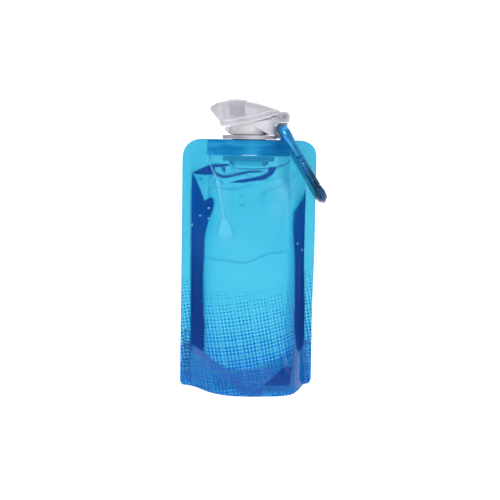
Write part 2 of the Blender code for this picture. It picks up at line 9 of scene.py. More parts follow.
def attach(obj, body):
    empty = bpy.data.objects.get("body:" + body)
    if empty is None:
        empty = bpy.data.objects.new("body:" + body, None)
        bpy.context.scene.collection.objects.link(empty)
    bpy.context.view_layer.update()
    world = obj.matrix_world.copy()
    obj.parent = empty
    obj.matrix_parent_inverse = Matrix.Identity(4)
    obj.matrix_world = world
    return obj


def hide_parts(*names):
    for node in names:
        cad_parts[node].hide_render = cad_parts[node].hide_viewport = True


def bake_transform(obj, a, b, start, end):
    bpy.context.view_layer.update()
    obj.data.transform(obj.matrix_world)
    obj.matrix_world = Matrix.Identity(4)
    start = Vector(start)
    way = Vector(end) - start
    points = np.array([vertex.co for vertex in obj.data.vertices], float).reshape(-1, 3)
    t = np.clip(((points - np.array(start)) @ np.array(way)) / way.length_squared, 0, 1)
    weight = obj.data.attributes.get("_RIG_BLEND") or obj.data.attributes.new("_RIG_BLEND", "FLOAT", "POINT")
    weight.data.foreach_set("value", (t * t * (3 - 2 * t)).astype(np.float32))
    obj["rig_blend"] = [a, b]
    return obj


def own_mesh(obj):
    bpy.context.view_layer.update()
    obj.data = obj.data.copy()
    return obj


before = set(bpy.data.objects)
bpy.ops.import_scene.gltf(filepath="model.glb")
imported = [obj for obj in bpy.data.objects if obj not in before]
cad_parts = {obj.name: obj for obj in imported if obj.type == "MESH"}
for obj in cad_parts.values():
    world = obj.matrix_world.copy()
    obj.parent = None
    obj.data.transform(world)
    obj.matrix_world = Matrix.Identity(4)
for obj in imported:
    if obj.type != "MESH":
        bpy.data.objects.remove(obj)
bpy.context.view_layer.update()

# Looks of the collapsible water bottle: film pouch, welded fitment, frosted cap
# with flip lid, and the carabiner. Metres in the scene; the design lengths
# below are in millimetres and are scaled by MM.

MM = 0.001
RNG = np.random.default_rng(7)
SCENE = bpy.context.scene


# ---- mesh helpers --------------------------------------------------------------
def add_object(name, mesh, mat=None):
    obj = bpy.data.objects.new(name, mesh)
    SCENE.collection.objects.link(obj)
    if mat is not None:
        mesh.materials.clear()
        mesh.materials.append(mat)
    return obj


def mesh_from(name, verts, faces):
    """A mesh from points in mm and faces."""
    mesh = bpy.data.meshes.new(name)
    mesh.from_pydata([tuple(float(c) * MM for c in v) for v in verts], [], faces)
    mesh.update()
    return mesh


def bake_modifiers(obj):
    """The evaluated mesh takes the place of the object's mesh and modifiers."""
    bpy.context.view_layer.update()
    graph = bpy.context.evaluated_depsgraph_get()
    mesh = bpy.data.meshes.new_from_object(obj.evaluated_get(graph))
    old = obj.data
    obj.modifiers.clear()
    obj.data = mesh
    bpy.data.meshes.remove(old)
    return obj


def recalc(obj):
    bm = bmesh.new()
    bm.from_mesh(obj.data)
    bmesh.ops.remove_doubles(bm, verts=bm.verts, dist=0.0000008)
    bmesh.ops.recalc_face_normals(bm, faces=bm.faces)
    bm.to_mesh(obj.data)
    bm.free()
    return obj


def smooth(obj, angle=32.0):
    obj.data.shade_smooth()
    obj.data.set_sharp_from_angle(angle=math.radians(angle))
    return obj


def rounded(points, radius, n=3, sharp=()):
    """A closed profile with its corners rounded by up to radius."""
    out = []
    m = len(points)
    for i in range(m):
        if i in sharp:
            out.append(tuple(points[i]))
            continue
        p0, p1, p2 = (np.array(points[(i + k - 1) % m], float) for k in range(3))
        a, b = p0 - p1, p2 - p1
        la, lb = np.linalg.norm(a), np.linalg.norm(b)
        if la < 1e-6 or lb < 1e-6:
            out.append(tuple(p1))
            continue
        turn = math.acos(float(np.clip(a @ b / la / lb, -1, 1)))
        if turn > math.radians(165):
            out.append(tuple(p1))
            continue
        r = min(radius, 0.42 * la, 0.42 * lb)
        s, e = p1 + a / la * r, p1 + b / lb * r
        for k in range(n + 1):
            t = k / n
            out.append(tuple((1 - t) ** 2 * s + 2 * t * (1 - t) * p1 + t * t * e))
    return out


def turned(name, profile, steps=96, mat=None, at=(0.0, 0.0), corner=0.25):
    """A turned ring from a closed profile of (radius, z) in mm."""
    prof = rounded(profile, corner) if corner else list(profile)
    m = len(prof)
    verts, faces = [], []
    for i in range(steps):
        a = 2 * math.pi * i / steps
        for r, z in prof:
            verts.append((at[0] + r * math.cos(a), at[1] + r * math.sin(a), z))
    for i in range(steps):
        j = (i + 1) % steps
        for k in range(m):
            l = (k + 1) % m
            faces.append((i * m + k, i * m + l, j * m + l, j * m + k))
    obj = add_object(name, mesh_from(name, verts, faces), mat)
    return smooth(recalc(obj))


def turned_solid(name, profile, steps=64, mat=None, corner=0.25):
    """A turned piece that meets its axis: profile from axis to axis."""
    prof = list(profile)
    inner = rounded(prof, corner, sharp=(0, len(prof) - 1)) if corner else prof
    body = [p for p in inner if p[0] > 1e-4]
    top, bottom = (0.0, prof[0][1]), (0.0, prof[-1][1])
    m = len(body)
    verts = [(0, 0, top[1]), (0, 0, bottom[1])]
    faces = []
    for i in range(steps):
        a = 2 * math.pi * i / steps
        verts += [(r * math.cos(a), r * math.sin(a), z) for r, z in body]
    for i in range(steps):
        j = (i + 1) % steps
        a, b = 2 + i * m, 2 + j * m
        faces.append((0, a, b))
        for k in range(m - 1):
            faces.append((a + k, a + k + 1, b + k + 1, b + k))
        faces.append((1, b + m - 1, a + m - 1))
    obj = add_object(name, mesh_from(name, verts, faces), mat)
    return smooth(recalc(obj))


def sweep(name, path, radius, sides=20, mat=None, closed=False, cap=True,
          section=None):
    """A rod along points in mm; radius may be a list. section(angle) scales it."""
    pts = [np.array(p, float) for p in path]
    n = len(pts)
    radii = radius if hasattr(radius, "__len__") else [radius] * n
    verts, faces = [], []
    up = None
    for i, p in enumerate(pts):
        if closed:
            d = pts[(i + 1) % n] - pts[i - 1]
        else:
            d = pts[min(i + 1, n - 1)] - pts[max(i - 1, 0)]
        d = d / np.linalg.norm(d)
        if up is None:
            ref = np.array([0, 0, 1.0]) if abs(d[2]) < 0.9 else np.array([1.0, 0, 0])
            up = ref - d * (ref @ d)
        up = up - d * (up @ d)
        up = up / np.linalg.norm(up)
        side = np.cross(d, up)
        for k in range(sides):
            a = 2 * math.pi * k / sides
            r = radii[i] * (section(a) if section else 1.0)
            verts.append(p + r * (math.cos(a) * side + math.sin(a) * up))
    for i in range(n if closed else n - 1):
        j = (i + 1) % n
        for k in range(sides):
            l = (k + 1) % sides
            faces.append((i * sides + k, i * sides + l, j * sides + l, j * sides + k))
    if cap and not closed:
        faces.append(tuple(range(sides - 1, -1, -1)))
        faces.append(tuple(range((n - 1) * sides, n * sides)))
    obj = add_object(name, mesh_from(name, verts, faces), mat)
    return smooth(recalc(obj), 40)


def plate(name, outline, low, high, plane="XZ", mat=None, bevel=0.0):
    """A flat outline in mm, given thickness from low to high."""
    n = len(outline)
    def at(p, h):
        return (p[0], h, p[1]) if plane == "XZ" else (p[0], p[1], h)
    verts = [at(p, low) for p in outline] + [at(p, high) for p in outline]
    faces = [tuple(range(n)), tuple(range(2 * n - 1, n - 1, -1))]
    faces += [(i, (i + 1) % n, n + (i + 1) % n, n + i) for i in range(n)]
    obj = recalc(add_object(name, mesh_from(name, verts, faces), mat))
    if bevel:
        mod = obj.modifiers.new("edge", "BEVEL")
        mod.width = bevel * MM
        mod.segments = 3
        mod.limit_method = "ANGLE"
        mod.angle_limit = math.radians(28)
        bake_modifiers(obj)
    return smooth(obj)


def arc(cx, cy, r, a0, a1, n):
    return [(cx + r * math.cos(math.radians(a0 + (a1 - a0) * i / n)),
             cy + r * math.sin(math.radians(a0 + (a1 - a0) * i / n)))
            for i in range(n + 1)]


def boolean(obj, other, operation):
    mod = obj.modifiers.new(operation.lower(), "BOOLEAN")
    mod.operation = operation
    mod.object = other
    mod.solver = "EXACT"
    bake_modifiers(obj)
    bpy.data.objects.remove(other, do_unlink=True)
    return obj


def soften(obj, width, segments=2, angle=28.0):
    """Small rounded edges after the cuts and joins."""
    mod = obj.modifiers.new("edge", "BEVEL")
    mod.width = width * MM
    mod.segments = segments
    mod.limit_method = "ANGLE"
    mod.angle_limit = math.radians(angle)
    mod.use_clamp_overlap = True
    mod.harden_normals = False
    bake_modifiers(obj)
    return smooth(obj, 38)


def joined(name, objs):
    """Several closed shells kept as one object."""
    bm = bmesh.new()
    mats = []
    for o in objs:
        o.data.transform(o.matrix_world)
        offset = len(mats)
        mats += [s for s in o.data.materials]
        start = len(bm.faces)
        bm.from_mesh(o.data)
        bm.faces.ensure_lookup_table()
        for f in bm.faces[start:]:
            f.material_index += offset
    mesh = bpy.data.meshes.new(name)
    bm.to_mesh(mesh)
    bm.free()
    for m in mats:
        mesh.materials.append(m)
    for o in objs:
        bpy.data.objects.remove(o, do_unlink=True)
    return add_object(name, mesh)


def set_attribute(obj, name, values):
    att = obj.data.attributes.get(name) or obj.data.attributes.new(
        name, "FLOAT", "POINT")
    att.data.foreach_set("value", np.asarray(values, np.float32))


def points_of(obj):
    co = np.empty(len(obj.data.vertices) * 3, np.float32)
    obj.data.vertices.foreach_get("co", co)
    return co.reshape(-1, 3).astype(float) / MM


# ---- node helpers ----------------------------------------------------------------
class Tree:
    """Builds one material's nodes."""

    def __init__(self, name):
        self.mat = bpy.data.materials.new(name)
        self.mat.use_nodes = True
        self.nt = self.mat.node_tree
        self.nt.nodes.clear()
        self.out = self.nt.nodes.new("ShaderNodeOutputMaterial")
        self._coord = None

    def put(self, socket, value):
        if isinstance(value, bpy.types.NodeSocket):
            self.nt.links.new(value, socket)
        elif isinstance(value, (tuple, list)) and socket.type == "RGBA":
            socket.default_value = (*value[:3], 1.0)
        else:
            socket.default_value = value

    def node(self, kind, **values):
        n = self.nt.nodes.new("ShaderNode" + kind)
        for key, value in values.items():
            self.put(n.inputs[key.replace("_", " ")], value)
        return n

    def coord(self):
        if self._coord is None:
            self._coord = self.nt.nodes.new("ShaderNodeTexCoord").outputs["Object"]
        return self._coord

    def xyz(self, vector=None):
        n = self.nt.nodes.new("ShaderNodeSeparateXYZ")
        self.put(n.inputs[0], vector or self.coord())
        return n.outputs

    def math(self, op, a, b=0.0, clamp=False, c=None):
        n = self.nt.nodes.new("ShaderNodeMath")
        n.operation = op
        n.use_clamp = clamp
        self.put(n.inputs[0], a)
        if len(n.inputs) > 1:
            self.put(n.inputs[1], b)
        if c is not None:
            self.put(n.inputs[2], c)
        return n.outputs[0]

    def noise(self, scale, detail=2.0, rough=0.5, stretch=None, distortion=0.0):
        n = self.nt.nodes.new("ShaderNodeTexNoise")
        vec = self.coord()
        if stretch:
            m = self.nt.nodes.new("ShaderNodeMapping")
            self.put(m.inputs["Vector"], vec)
            m.inputs["Scale"].default_value = stretch
            vec = m.outputs[0]
        self.put(n.inputs["Vector"], vec)
        n.inputs["Scale"].default_value = scale
        n.inputs["Detail"].default_value = detail
        n.inputs["Roughness"].default_value = rough
        n.inputs["Distortion"].default_value = distortion
        return n.outputs["Fac"]

    def remap(self, value, a, b, c=0.0, d=1.0, smooth_step=True):
        n = self.nt.nodes.new("ShaderNodeMapRange")
        n.interpolation_type = "SMOOTHSTEP" if smooth_step else "LINEAR"
        for i, v in enumerate((value, a, b, c, d)):
            self.put(n.inputs[i], v)
        return n.outputs[0]

    def mix(self, fac, a, b):
        n = self.nt.nodes.new("ShaderNodeMix")
        n.data_type = "RGBA"
        self.put(n.inputs[0], fac)
        self.put(n.inputs[6], a)
        self.put(n.inputs[7], b)
        return n.outputs[2]

    def attr(self, name):
        n = self.nt.nodes.new("ShaderNodeAttribute")
        n.attribute_name = name
        return n.outputs["Fac"]

    def bump(self, height, strength, distance):
        n = self.nt.nodes.new("ShaderNodeBump")
        n.inputs["Strength"].default_value = strength
        n.inputs["Distance"].default_value = distance
        self.put(n.inputs["Height"], height)
        return n.outputs[0]

    def principled(self, **values):
        n = self.nt.nodes.new("ShaderNodeBsdfPrincipled")
        for key, value in values.items():
            self.put(n.inputs[key.replace("_", " ")], value)
        return n.outputs[0]

    def clear(self, colour):
        n = self.nt.nodes.new("ShaderNodeBsdfTransparent")
        self.put(n.inputs["Color"], colour)
        return n.outputs[0]

    def mixed(self, fac, a, b):
        n = self.nt.nodes.new("ShaderNodeMixShader")
        self.put(n.inputs[0], fac)
        self.nt.links.new(a, n.inputs[1])
        self.nt.links.new(b, n.inputs[2])
        return n.outputs[0]

    def done(self, shader):
        self.nt.links.new(shader, self.out.inputs["Surface"])
        return self.mat


# ---- camera, placed first: shapes on the front wall are laid out through it -------
CAM_DIST, CAM_AZ, CAM_Z, CAM_ROLL = 640.0, -5.0, 205.0, 0.95
CAM_F = 785.3                      # focal length in pixels of a 500 pixel frame
AXIS_PX, HORIZON_PX = 249.3, 133.0
CAM_TILT, TILT_F, TILT_ROW = 7.0, 796.7, 232.3    # looking down keeps the shift small


def camera_axes():
    a, r = math.radians(CAM_AZ), math.radians(CAM_ROLL)
    ahead = np.array([-math.sin(a), math.cos(a), 0.0])
    right = np.array([math.cos(a), math.sin(a), 0.0])
    up = np.array([0.0, 0.0, 1.0])
    place = np.array([CAM_DIST * math.sin(a), -CAM_DIST * math.cos(a), CAM_Z])
    return (place, ahead, math.cos(r) * right + math.sin(r) * up,
            -math.sin(r) * right + math.cos(r) * up)


def make_camera():
    place, level, right, upright_axis = camera_axes()
    tilt = math.radians(CAM_TILT)
    ahead = math.cos(tilt) * level - math.sin(tilt) * upright_axis
    up = math.cos(tilt) * upright_axis + math.sin(tilt) * level
    data = bpy.data.cameras.new("view_camera")
    data.lens = 36.0 * TILT_F / 500.0
    data.sensor_width = 36.0
    data.shift_x = (250.0 - AXIS_PX) / 500.0
    data.shift_y = (TILT_ROW - 250.0) / 500.0
    data.clip_start = 0.01
    data.clip_end = 20.0
    cam = bpy.data.objects.new("view_camera", data)
    SCENE.collection.objects.link(cam)
    m = Matrix.Identity(4)
    for row in range(3):
        m[row][0], m[row][1], m[row][2] = right[row], up[row], -ahead[row]
        m[row][3] = place[row] * MM
    cam.matrix_world = m
    SCENE.camera = cam
    return cam


make_camera()


# ---- the pouch's form, in mm -------------------------------------------------------
POUCH_H, HALF_W, HALF_W_TOP, SEAL_W = 201.0, 54.0, 53.0, 8.0
FILM_T = 0.3


def sstep(a, b, x):
    t = np.clip((np.asarray(x, float) - a) / (b - a), 0.0, 1.0)
    return t * t * (3.0 - 2.0 * t)


def half_width(z):
    return HALF_W + (HALF_W_TOP - HALF_W) * z / POUCH_H


def flare(x, z):
    """The right side seal stands a little further out, most of all above the print."""
    return (0.7 + 0.95 * sstep(55.0, 115.0, z)) * sstep(42.0, 54.0, x)


def top_edge(x):
    r = np.where(x < 0, 14.5, 12.2)
    over = np.maximum(0.0, np.abs(x) - (HALF_W_TOP - r))
    return POUCH_H - np.where(over > 0, r - np.sqrt(
        np.maximum(0.0, r ** 2 - over ** 2)), 0.0)


def bottom_edge(x):
    over = np.maximum(0.0, np.abs(x) - (HALF_W - 4.0))
    return np.where(over > 0, 4.0 - np.sqrt(np.maximum(0.0, 16.0 - over ** 2)), 0.0)


def weld_base_half(x):
    u = np.minimum(1.0, np.abs(x) / 33.0)
    return 15.5 * (1.0 - u * u) ** 0.9


# How far the front's lower edge stands out of the mid plane: fuller on the right.
BASE_FRONT = [(-50, 0.0), (-47.6, 0.5), (-44, 3.0), (-40, 7.2), (-36, 12.6),
              (-32, 18.0), (-26, 23.8), (-20, 27.4), (-10, 30.8), (0, 32.0), (10, 32.3),
              (21, 32.2), (28, 31.2), (33, 29.0), (37, 25.0), (41, 18.2), (44, 11.0),
              (46.5, 4.6), (48.4, 1.0), (50, 0.0)]


def wall_gap(x, z, side=-1):
    """Inner face of a wall from the mid plane."""
    u = np.minimum(1.0, np.abs(x) / 46.0)
    mid = 32.0 - 4.0 * sstep(30.0, 110.0, z) - 12.0 * sstep(95.0, 190.0, z)
    body = mid * (1.0 - u ** 2.3) ** 0.75
    ub = np.minimum(1.0, np.abs(x) / 50.0)
    if side < 0:
        base = np.interp(x, *zip(*BASE_FRONT))
    else:
        base = 32.0 * (1.0 - ub ** 2.4) ** 1.25
    top = weld_base_half(x)
    top = top + 0.15 * np.minimum(1.0, top)
    wt = sstep(138.0, 185.0, z)
    wb = sstep(46.0, 4.0, z)
    bulge = body * (1.0 - wt) + top * wt
    bulge = bulge * (1.0 - wb) + base * wb
    return 0.15 + 0.85 * sstep(52.0, 36.5, z) + bulge


def bottom_weld(x, side=-1):
    u = np.minimum(1.0, np.abs(x) / 46.0)
    return np.where(np.asarray(side) < 0, 7.0 + 28.0 * u ** 2.2,
                    1.2 + 33.8 * u ** 2.2)


def on_front(px, py):
    """Where a point of the 500 pixel view falls on the front wall: (x, z) in mm."""
    place, ahead, right, up = camera_axes()
    d = ahead + (px - AXIS_PX) / CAM_F * right + (HORIZON_PX - py) / CAM_F * up
    y = -12.0
    for _ in range(14):
        t = (y - place[1]) / d[1]
        x, z = place[0] + t * d[0], place[2] + t * d[2]
        y += 0.6 * (-(float(wall_gap(x, z, -1)) + 0.3) - y)
    return x, z


def laid(points):
    return np.array([on_front(px, py) for px, py in points])


# ---- soft masks over (x, z) ----------------------------------------------------------
def line_distance(p, line, closed=False):
    """Distance of each point to a broken line, and how far along it lies (0..1)."""
    line = np.asarray(line, float)
    ends = list(zip(line, np.roll(line, -1, 0))) if closed else list(
        zip(line[:-1], line[1:]))
    total = sum(np.linalg.norm(b - a) for a, b in ends)
    best = np.full(len(p), 1e9)
    along = np.zeros(len(p))
    run = 0.0
    for a, b in ends:
        d = b - a
        length = np.linalg.norm(d)
        t = np.clip(((p - a) @ d) / max(length ** 2, 1e-9), 0, 1)
        dist = np.linalg.norm(p - (a + t[:, None] * d), axis=1)
        near = dist < best
        best = np.where(near, dist, best)
        along = np.where(near, (run + t * length) / total, along)
        run += length
    return best, along


def inside(p, poly):
    poly = np.asarray(poly, float)
    hit = np.zeros(len(p), bool)
    for a, b in zip(poly, np.roll(poly, -1, 0)):
        if abs(a[1] - b[1]) < 1e-9:
            continue
        cross = (a[1] > p[:, 1]) != (b[1] > p[:, 1])
        x = a[0] + (p[:, 1] - a[1]) / (b[1] - a[1]) * (b[0] - a[0])
        hit ^= cross & (p[:, 0] < x)
    return hit


def area_mask(p, poly, soft):
    """1 inside a closed outline, fading over soft mm across its edge."""
    d, _ = line_distance(p, poly, closed=True)
    d = np.where(inside(p, poly), d, -d)
    return sstep(-soft / 2, soft / 2, d)


def line_mask(p, line, width, taper=True):
    """1 on a line of the given width, thinner towards its ends."""
    d, t = line_distance(p, line)
    w = width * (0.35 + 0.65 * np.sin(np.pi * np.clip(t, 0, 1)) ** 0.6) if taper \
        else width
    return sstep(w * 0.5 + 0.55, w * 0.5 - 0.35, d)


def curve(points, n=60):
    """A smooth line through a few points."""
    p = np.asarray(points, float)
    ext = np.vstack([2 * p[0] - p[1], p, 2 * p[-1] - p[-2]])
    out = []
    per = max(2, n // (len(p) - 1))
    for i in range(len(p) - 1):
        p0, p1, p2, p3 = ext[i:i + 4]
        for k in range(per):
            t = k / per
            out.append(0.5 * (2 * p1 + (p2 - p0) * t + (2 * p0 - 5 * p1 + 4 * p2 - p3)
                              * t * t + (3 * p1 - p0 - 3 * p2 + p3) * t ** 3))
    out.append(p[-1])
    return np.array(out)


# Outlines on the front wall, laid out in the view's pixels.
LEFT_BAND = laid([
    (191.6, 170.2), (193.4, 171.6), (196, 175), (200.4, 186), (204.8, 197.5),
    (207.5, 196.8), (210.5, 194.4), (213.6, 195.8), (214.4, 200.8), (213.2, 207),
    (210.2, 214.5), (207, 224.5), (205.2, 233), (204.2, 254), (203.2, 275),
    (203.2, 300), (204.2, 322), (203.9, 345), (203.2, 351.6), (197, 347.5),
    (188.0, 342.0), (188.4, 325), (188.8, 300), (189.5, 255), (190.4, 215),
    (190.8, 190), (190.6, 174)])
RIGHT_BAND = laid([
    (306.2, 183), (302.8, 195), (297.5, 204), (293.6, 208.4), (292.8, 224.7),
    (293.8, 242), (294.8, 259.3), (294.9, 300), (294.3, 324.7), (296.2, 345),
    (298, 352), (302, 348), (308, 339), (308, 318), (308, 300), (308, 260),
    (308, 234), (307.6, 212), (307.6, 190)])
FOLD_A = laid([(193.3, 170.2), (199, 167.6), (209.2, 163.0), (214, 161.9),
               (222, 161.6), (229.6, 161.9), (229.8, 163.4), (222, 164.4),
               (215.3, 164.7), (215.6, 171.8), (206, 172.3), (197.5, 171.8)])
FOLD_B = laid([(221.0, 163.6), (226.2, 165.3), (224.8, 171.2), (223, 168)])
FOLD_C = laid([(215.0, 168.2), (219.5, 171.2), (224, 173.0), (231, 172.2),
               (240, 170.0), (250, 168.2), (258, 168.2), (265.5, 169.6),
               (258, 169.9), (249.6, 170.2), (238, 173.2), (228, 175.4),
               (222.5, 175.6), (217.5, 173.2)])
FOLD_D = laid([(230.6, 180.0), (240, 177.2), (252, 175.4), (262, 172.9),
               (267.6, 169.9), (268.6, 165.2), (276.6, 164.9), (272, 172.2),
               (266, 176.4), (256, 178.2), (243, 180.1)])
ARC_RIGHT = laid([(231, 164.6), (243, 166.4), (258, 166.6), (270, 165.6),
                  (279, 164.2), (286, 161.4), (290.4, 157.6)])
STREAK = laid([(208.6, 157), (213, 167), (217, 178), (220, 190), (222.4, 204),
               (224, 218), (225, 230)])
LOOP = laid([(222.5, 214), (218.2, 224), (217.6, 232), (221.5, 237.6),
             (228, 238.6), (232.6, 235.4), (233.6, 229.6), (231, 224), (228.2, 216)])
WAVE = laid([(206, 255), (216, 257), (230, 258.6), (243, 260.4), (252, 258.6),
             (262, 253.4), (272, 250.6), (284, 249.6)])
U_SEAL = laid([(190.4, 343.0), (197.6, 348.6), (204, 353), (212.6, 361),
               (226.5, 371.2), (236.4, 380.6), (244.3, 388.2), (256, 390.2),
               (272, 389.6), (287, 388), (291.6, 375), (294.8, 359.5),
               (300.7, 348.6), (306.4, 339.6)])
CREASES = [laid(p) for p in (
    [(214.6, 180.5), (216.6, 174.0)], [(220.6, 176.4), (223.4, 181.4)],
    [(199.6, 175.2), (202.6, 177.2), (202.2, 174.6)], [(240.4, 192.4), (242.2, 193.6)],
    [(231.6, 166.4), (234.6, 167.4)], [(240, 202.6), (245.5, 201.8)],
    [(262.6, 190.6), (265.6, 189)])]
DROPS = laid([(209.3, 205.2), (200.6, 212.8), (209.0, 215.4), (192.6, 221.8),
              (297.2, 240.8), (301.8, 247.2)])


def film_grid(fine):
    k = 1.0 if fine else 1.9
    xs = [0.0]
    while xs[-1] < HALF_W - 0.3:
        x = xs[-1]
        step = 0.8 if x < 37 else 0.45 if x < 44.5 else 0.26 if x < 46.8 else 0.8
        xs.append(min(HALF_W, x + step * k))
    xs[-1] = HALF_W
    zs = [0.0]
    while zs[-1] < POUCH_H - 0.3:
        z = zs[-1]
        step = 0.5 if z < 3 else 0.95 if z < 143 else 0.6 if z < 189 else 0.9
        zs.append(min(POUCH_H, z + step * k))
    zs[-1] = POUCH_H
    return np.array([-x for x in reversed(xs[1:])] + xs), np.array(zs)


def relief(x, z, side):
    """Small outward moves of a wall: waves of the film, folds and seals."""
    p = np.stack([x.ravel(), z.ravel()], 1)
    ax = np.abs(p[:, 0])
    body = sstep(46.5, 38.0, ax) * sstep(42.0, 62.0, p[:, 1]) * sstep(
        188.0, 168.0, p[:, 1])
    ph = 0.0 if side < 0 else 2.1
    r = body * (0.30 * np.sin(p[:, 0] / 9.5 + p[:, 1] / 31.0 + ph)
                * np.cos(p[:, 1] / 23.0 + 0.7 + ph)
                + 0.16 * np.sin(p[:, 0] / 4.3 - p[:, 1] / 12.0 + ph))
    flange = sstep(46.8, 49.0, ax)
    r += flange * (0.22 * np.sin(p[:, 1] / 17.0 + np.sign(p[:, 0]) + ph)
                   + 0.10 * np.sin(p[:, 1] / 6.1 + ph))
    for at in (48.6, 51.4):
        r -= 0.07 * sstep(0.7, 0.1, np.abs(ax - at)) * sstep(190, 178, p[:, 1])
    skirt = sstep(0.9, -0.9, p[:, 1] - bottom_weld(p[:, 0], side)) * sstep(
        46.5, 44, ax)
    r += 0.10 * skirt * np.sin(p[:, 0] / 3.1 + p[:, 1] / 4.7)
    if side < 0:
        for fold, depth in ((FOLD_A, 1.3), (FOLD_B, 0.7), (FOLD_C, 0.9),
                            (FOLD_D, 1.2)):
            r -= depth * area_mask(p, fold, 1.7)
            d, _ = line_distance(p, fold, closed=True)
            r += 0.32 * np.exp(-(d / 1.4) ** 2) * ~inside(p, fold)
        d, _ = line_distance(p, curve(STREAK))
        r += 0.42 * np.exp(-(d / 1.0) ** 2) - 0.20 * np.exp(-((d - 2.6) / 1.5) ** 2)
        loop = curve(np.vstack([LOOP, LOOP[:1]]))
        d, _ = line_distance(p, loop)
        r += 0.38 * np.exp(-(d / 1.3) ** 2) + 0.28 * area_mask(p, loop, 4.0)
        d, _ = line_distance(p, curve(WAVE))
        r += 0.22 * np.exp(-(d / 1.5) ** 2)
        d, _ = line_distance(p, curve(ARC_RIGHT))
        r -= 0.40 * np.exp(-(d / 0.7) ** 2)
        for crease in CREASES:
            d, _ = line_distance(p, crease)
            r -= 0.35 * np.exp(-(d / 0.7) ** 2)
        for drop in DROPS:
            d = np.linalg.norm(p - drop, axis=1)
            r += 0.4 * np.sqrt(np.maximum(0.0, 1.0 - (d / 0.75) ** 2))
        band = area_mask(p, LEFT_BAND, 2.2) + area_mask(p, RIGHT_BAND, 2.2)
        r -= 0.35 * band * sstep(44.0, 60.0, p[:, 1])
    else:
        for line in ([(-41, 176), (-24, 171), (-6, 174), (10, 168), (30, 171)],
                     [(-30, 163), (-12, 160), (6, 165)],
                     [(14, 158), (28, 164), (41, 176)]):
            d, _ = line_distance(p, curve(line))
            r -= 0.5 * np.exp(-(d / 2.0) ** 2)
    low = np.where(p[:, 1] < 48.0, -0.12, -1.5)
    low = np.where(p[:, 1] > 182.0, -0.5, low)
    low = np.where(p[:, 1] > 187.0, -0.05, low)
    low = np.where(ax > 46.0, -0.10, low)
    return np.clip(r, low, 0.8).reshape(x.shape)


def film_wall(name, side):
    xs, zs = film_grid(side < 0)
    x0, z0 = np.meshgrid(xs, zs)
    low, high = bottom_edge(x0), top_edge(x0 * HALF_W_TOP / HALF_W)
    z = low + (high - low) * z0 / POUCH_H
    x = x0 * half_width(z) / HALF_W
    y = side * (wall_gap(x, z, side) + relief(x, z, side))
    x = x + flare(x0, z)
    rows, cols = x.shape
    verts = np.stack([x.ravel(), y.ravel(), z.ravel()], 1)
    faces = []
    for j in range(rows - 1):
        for i in range(cols - 1):
            a = j * cols + i
            quad = (a, a + 1, a + cols + 1, a + cols)
            faces.append(quad if side < 0 else quad[::-1])
    obj = add_object(name, mesh_from(name, verts, faces))
    mod = obj.modifiers.new("film", "SOLIDIFY")
    mod.thickness = FILM_T * MM
    mod.offset = 1.0
    mod.use_even_offset = False
    bake_modifiers(obj)
    obj.data.shade_smooth()
    return obj


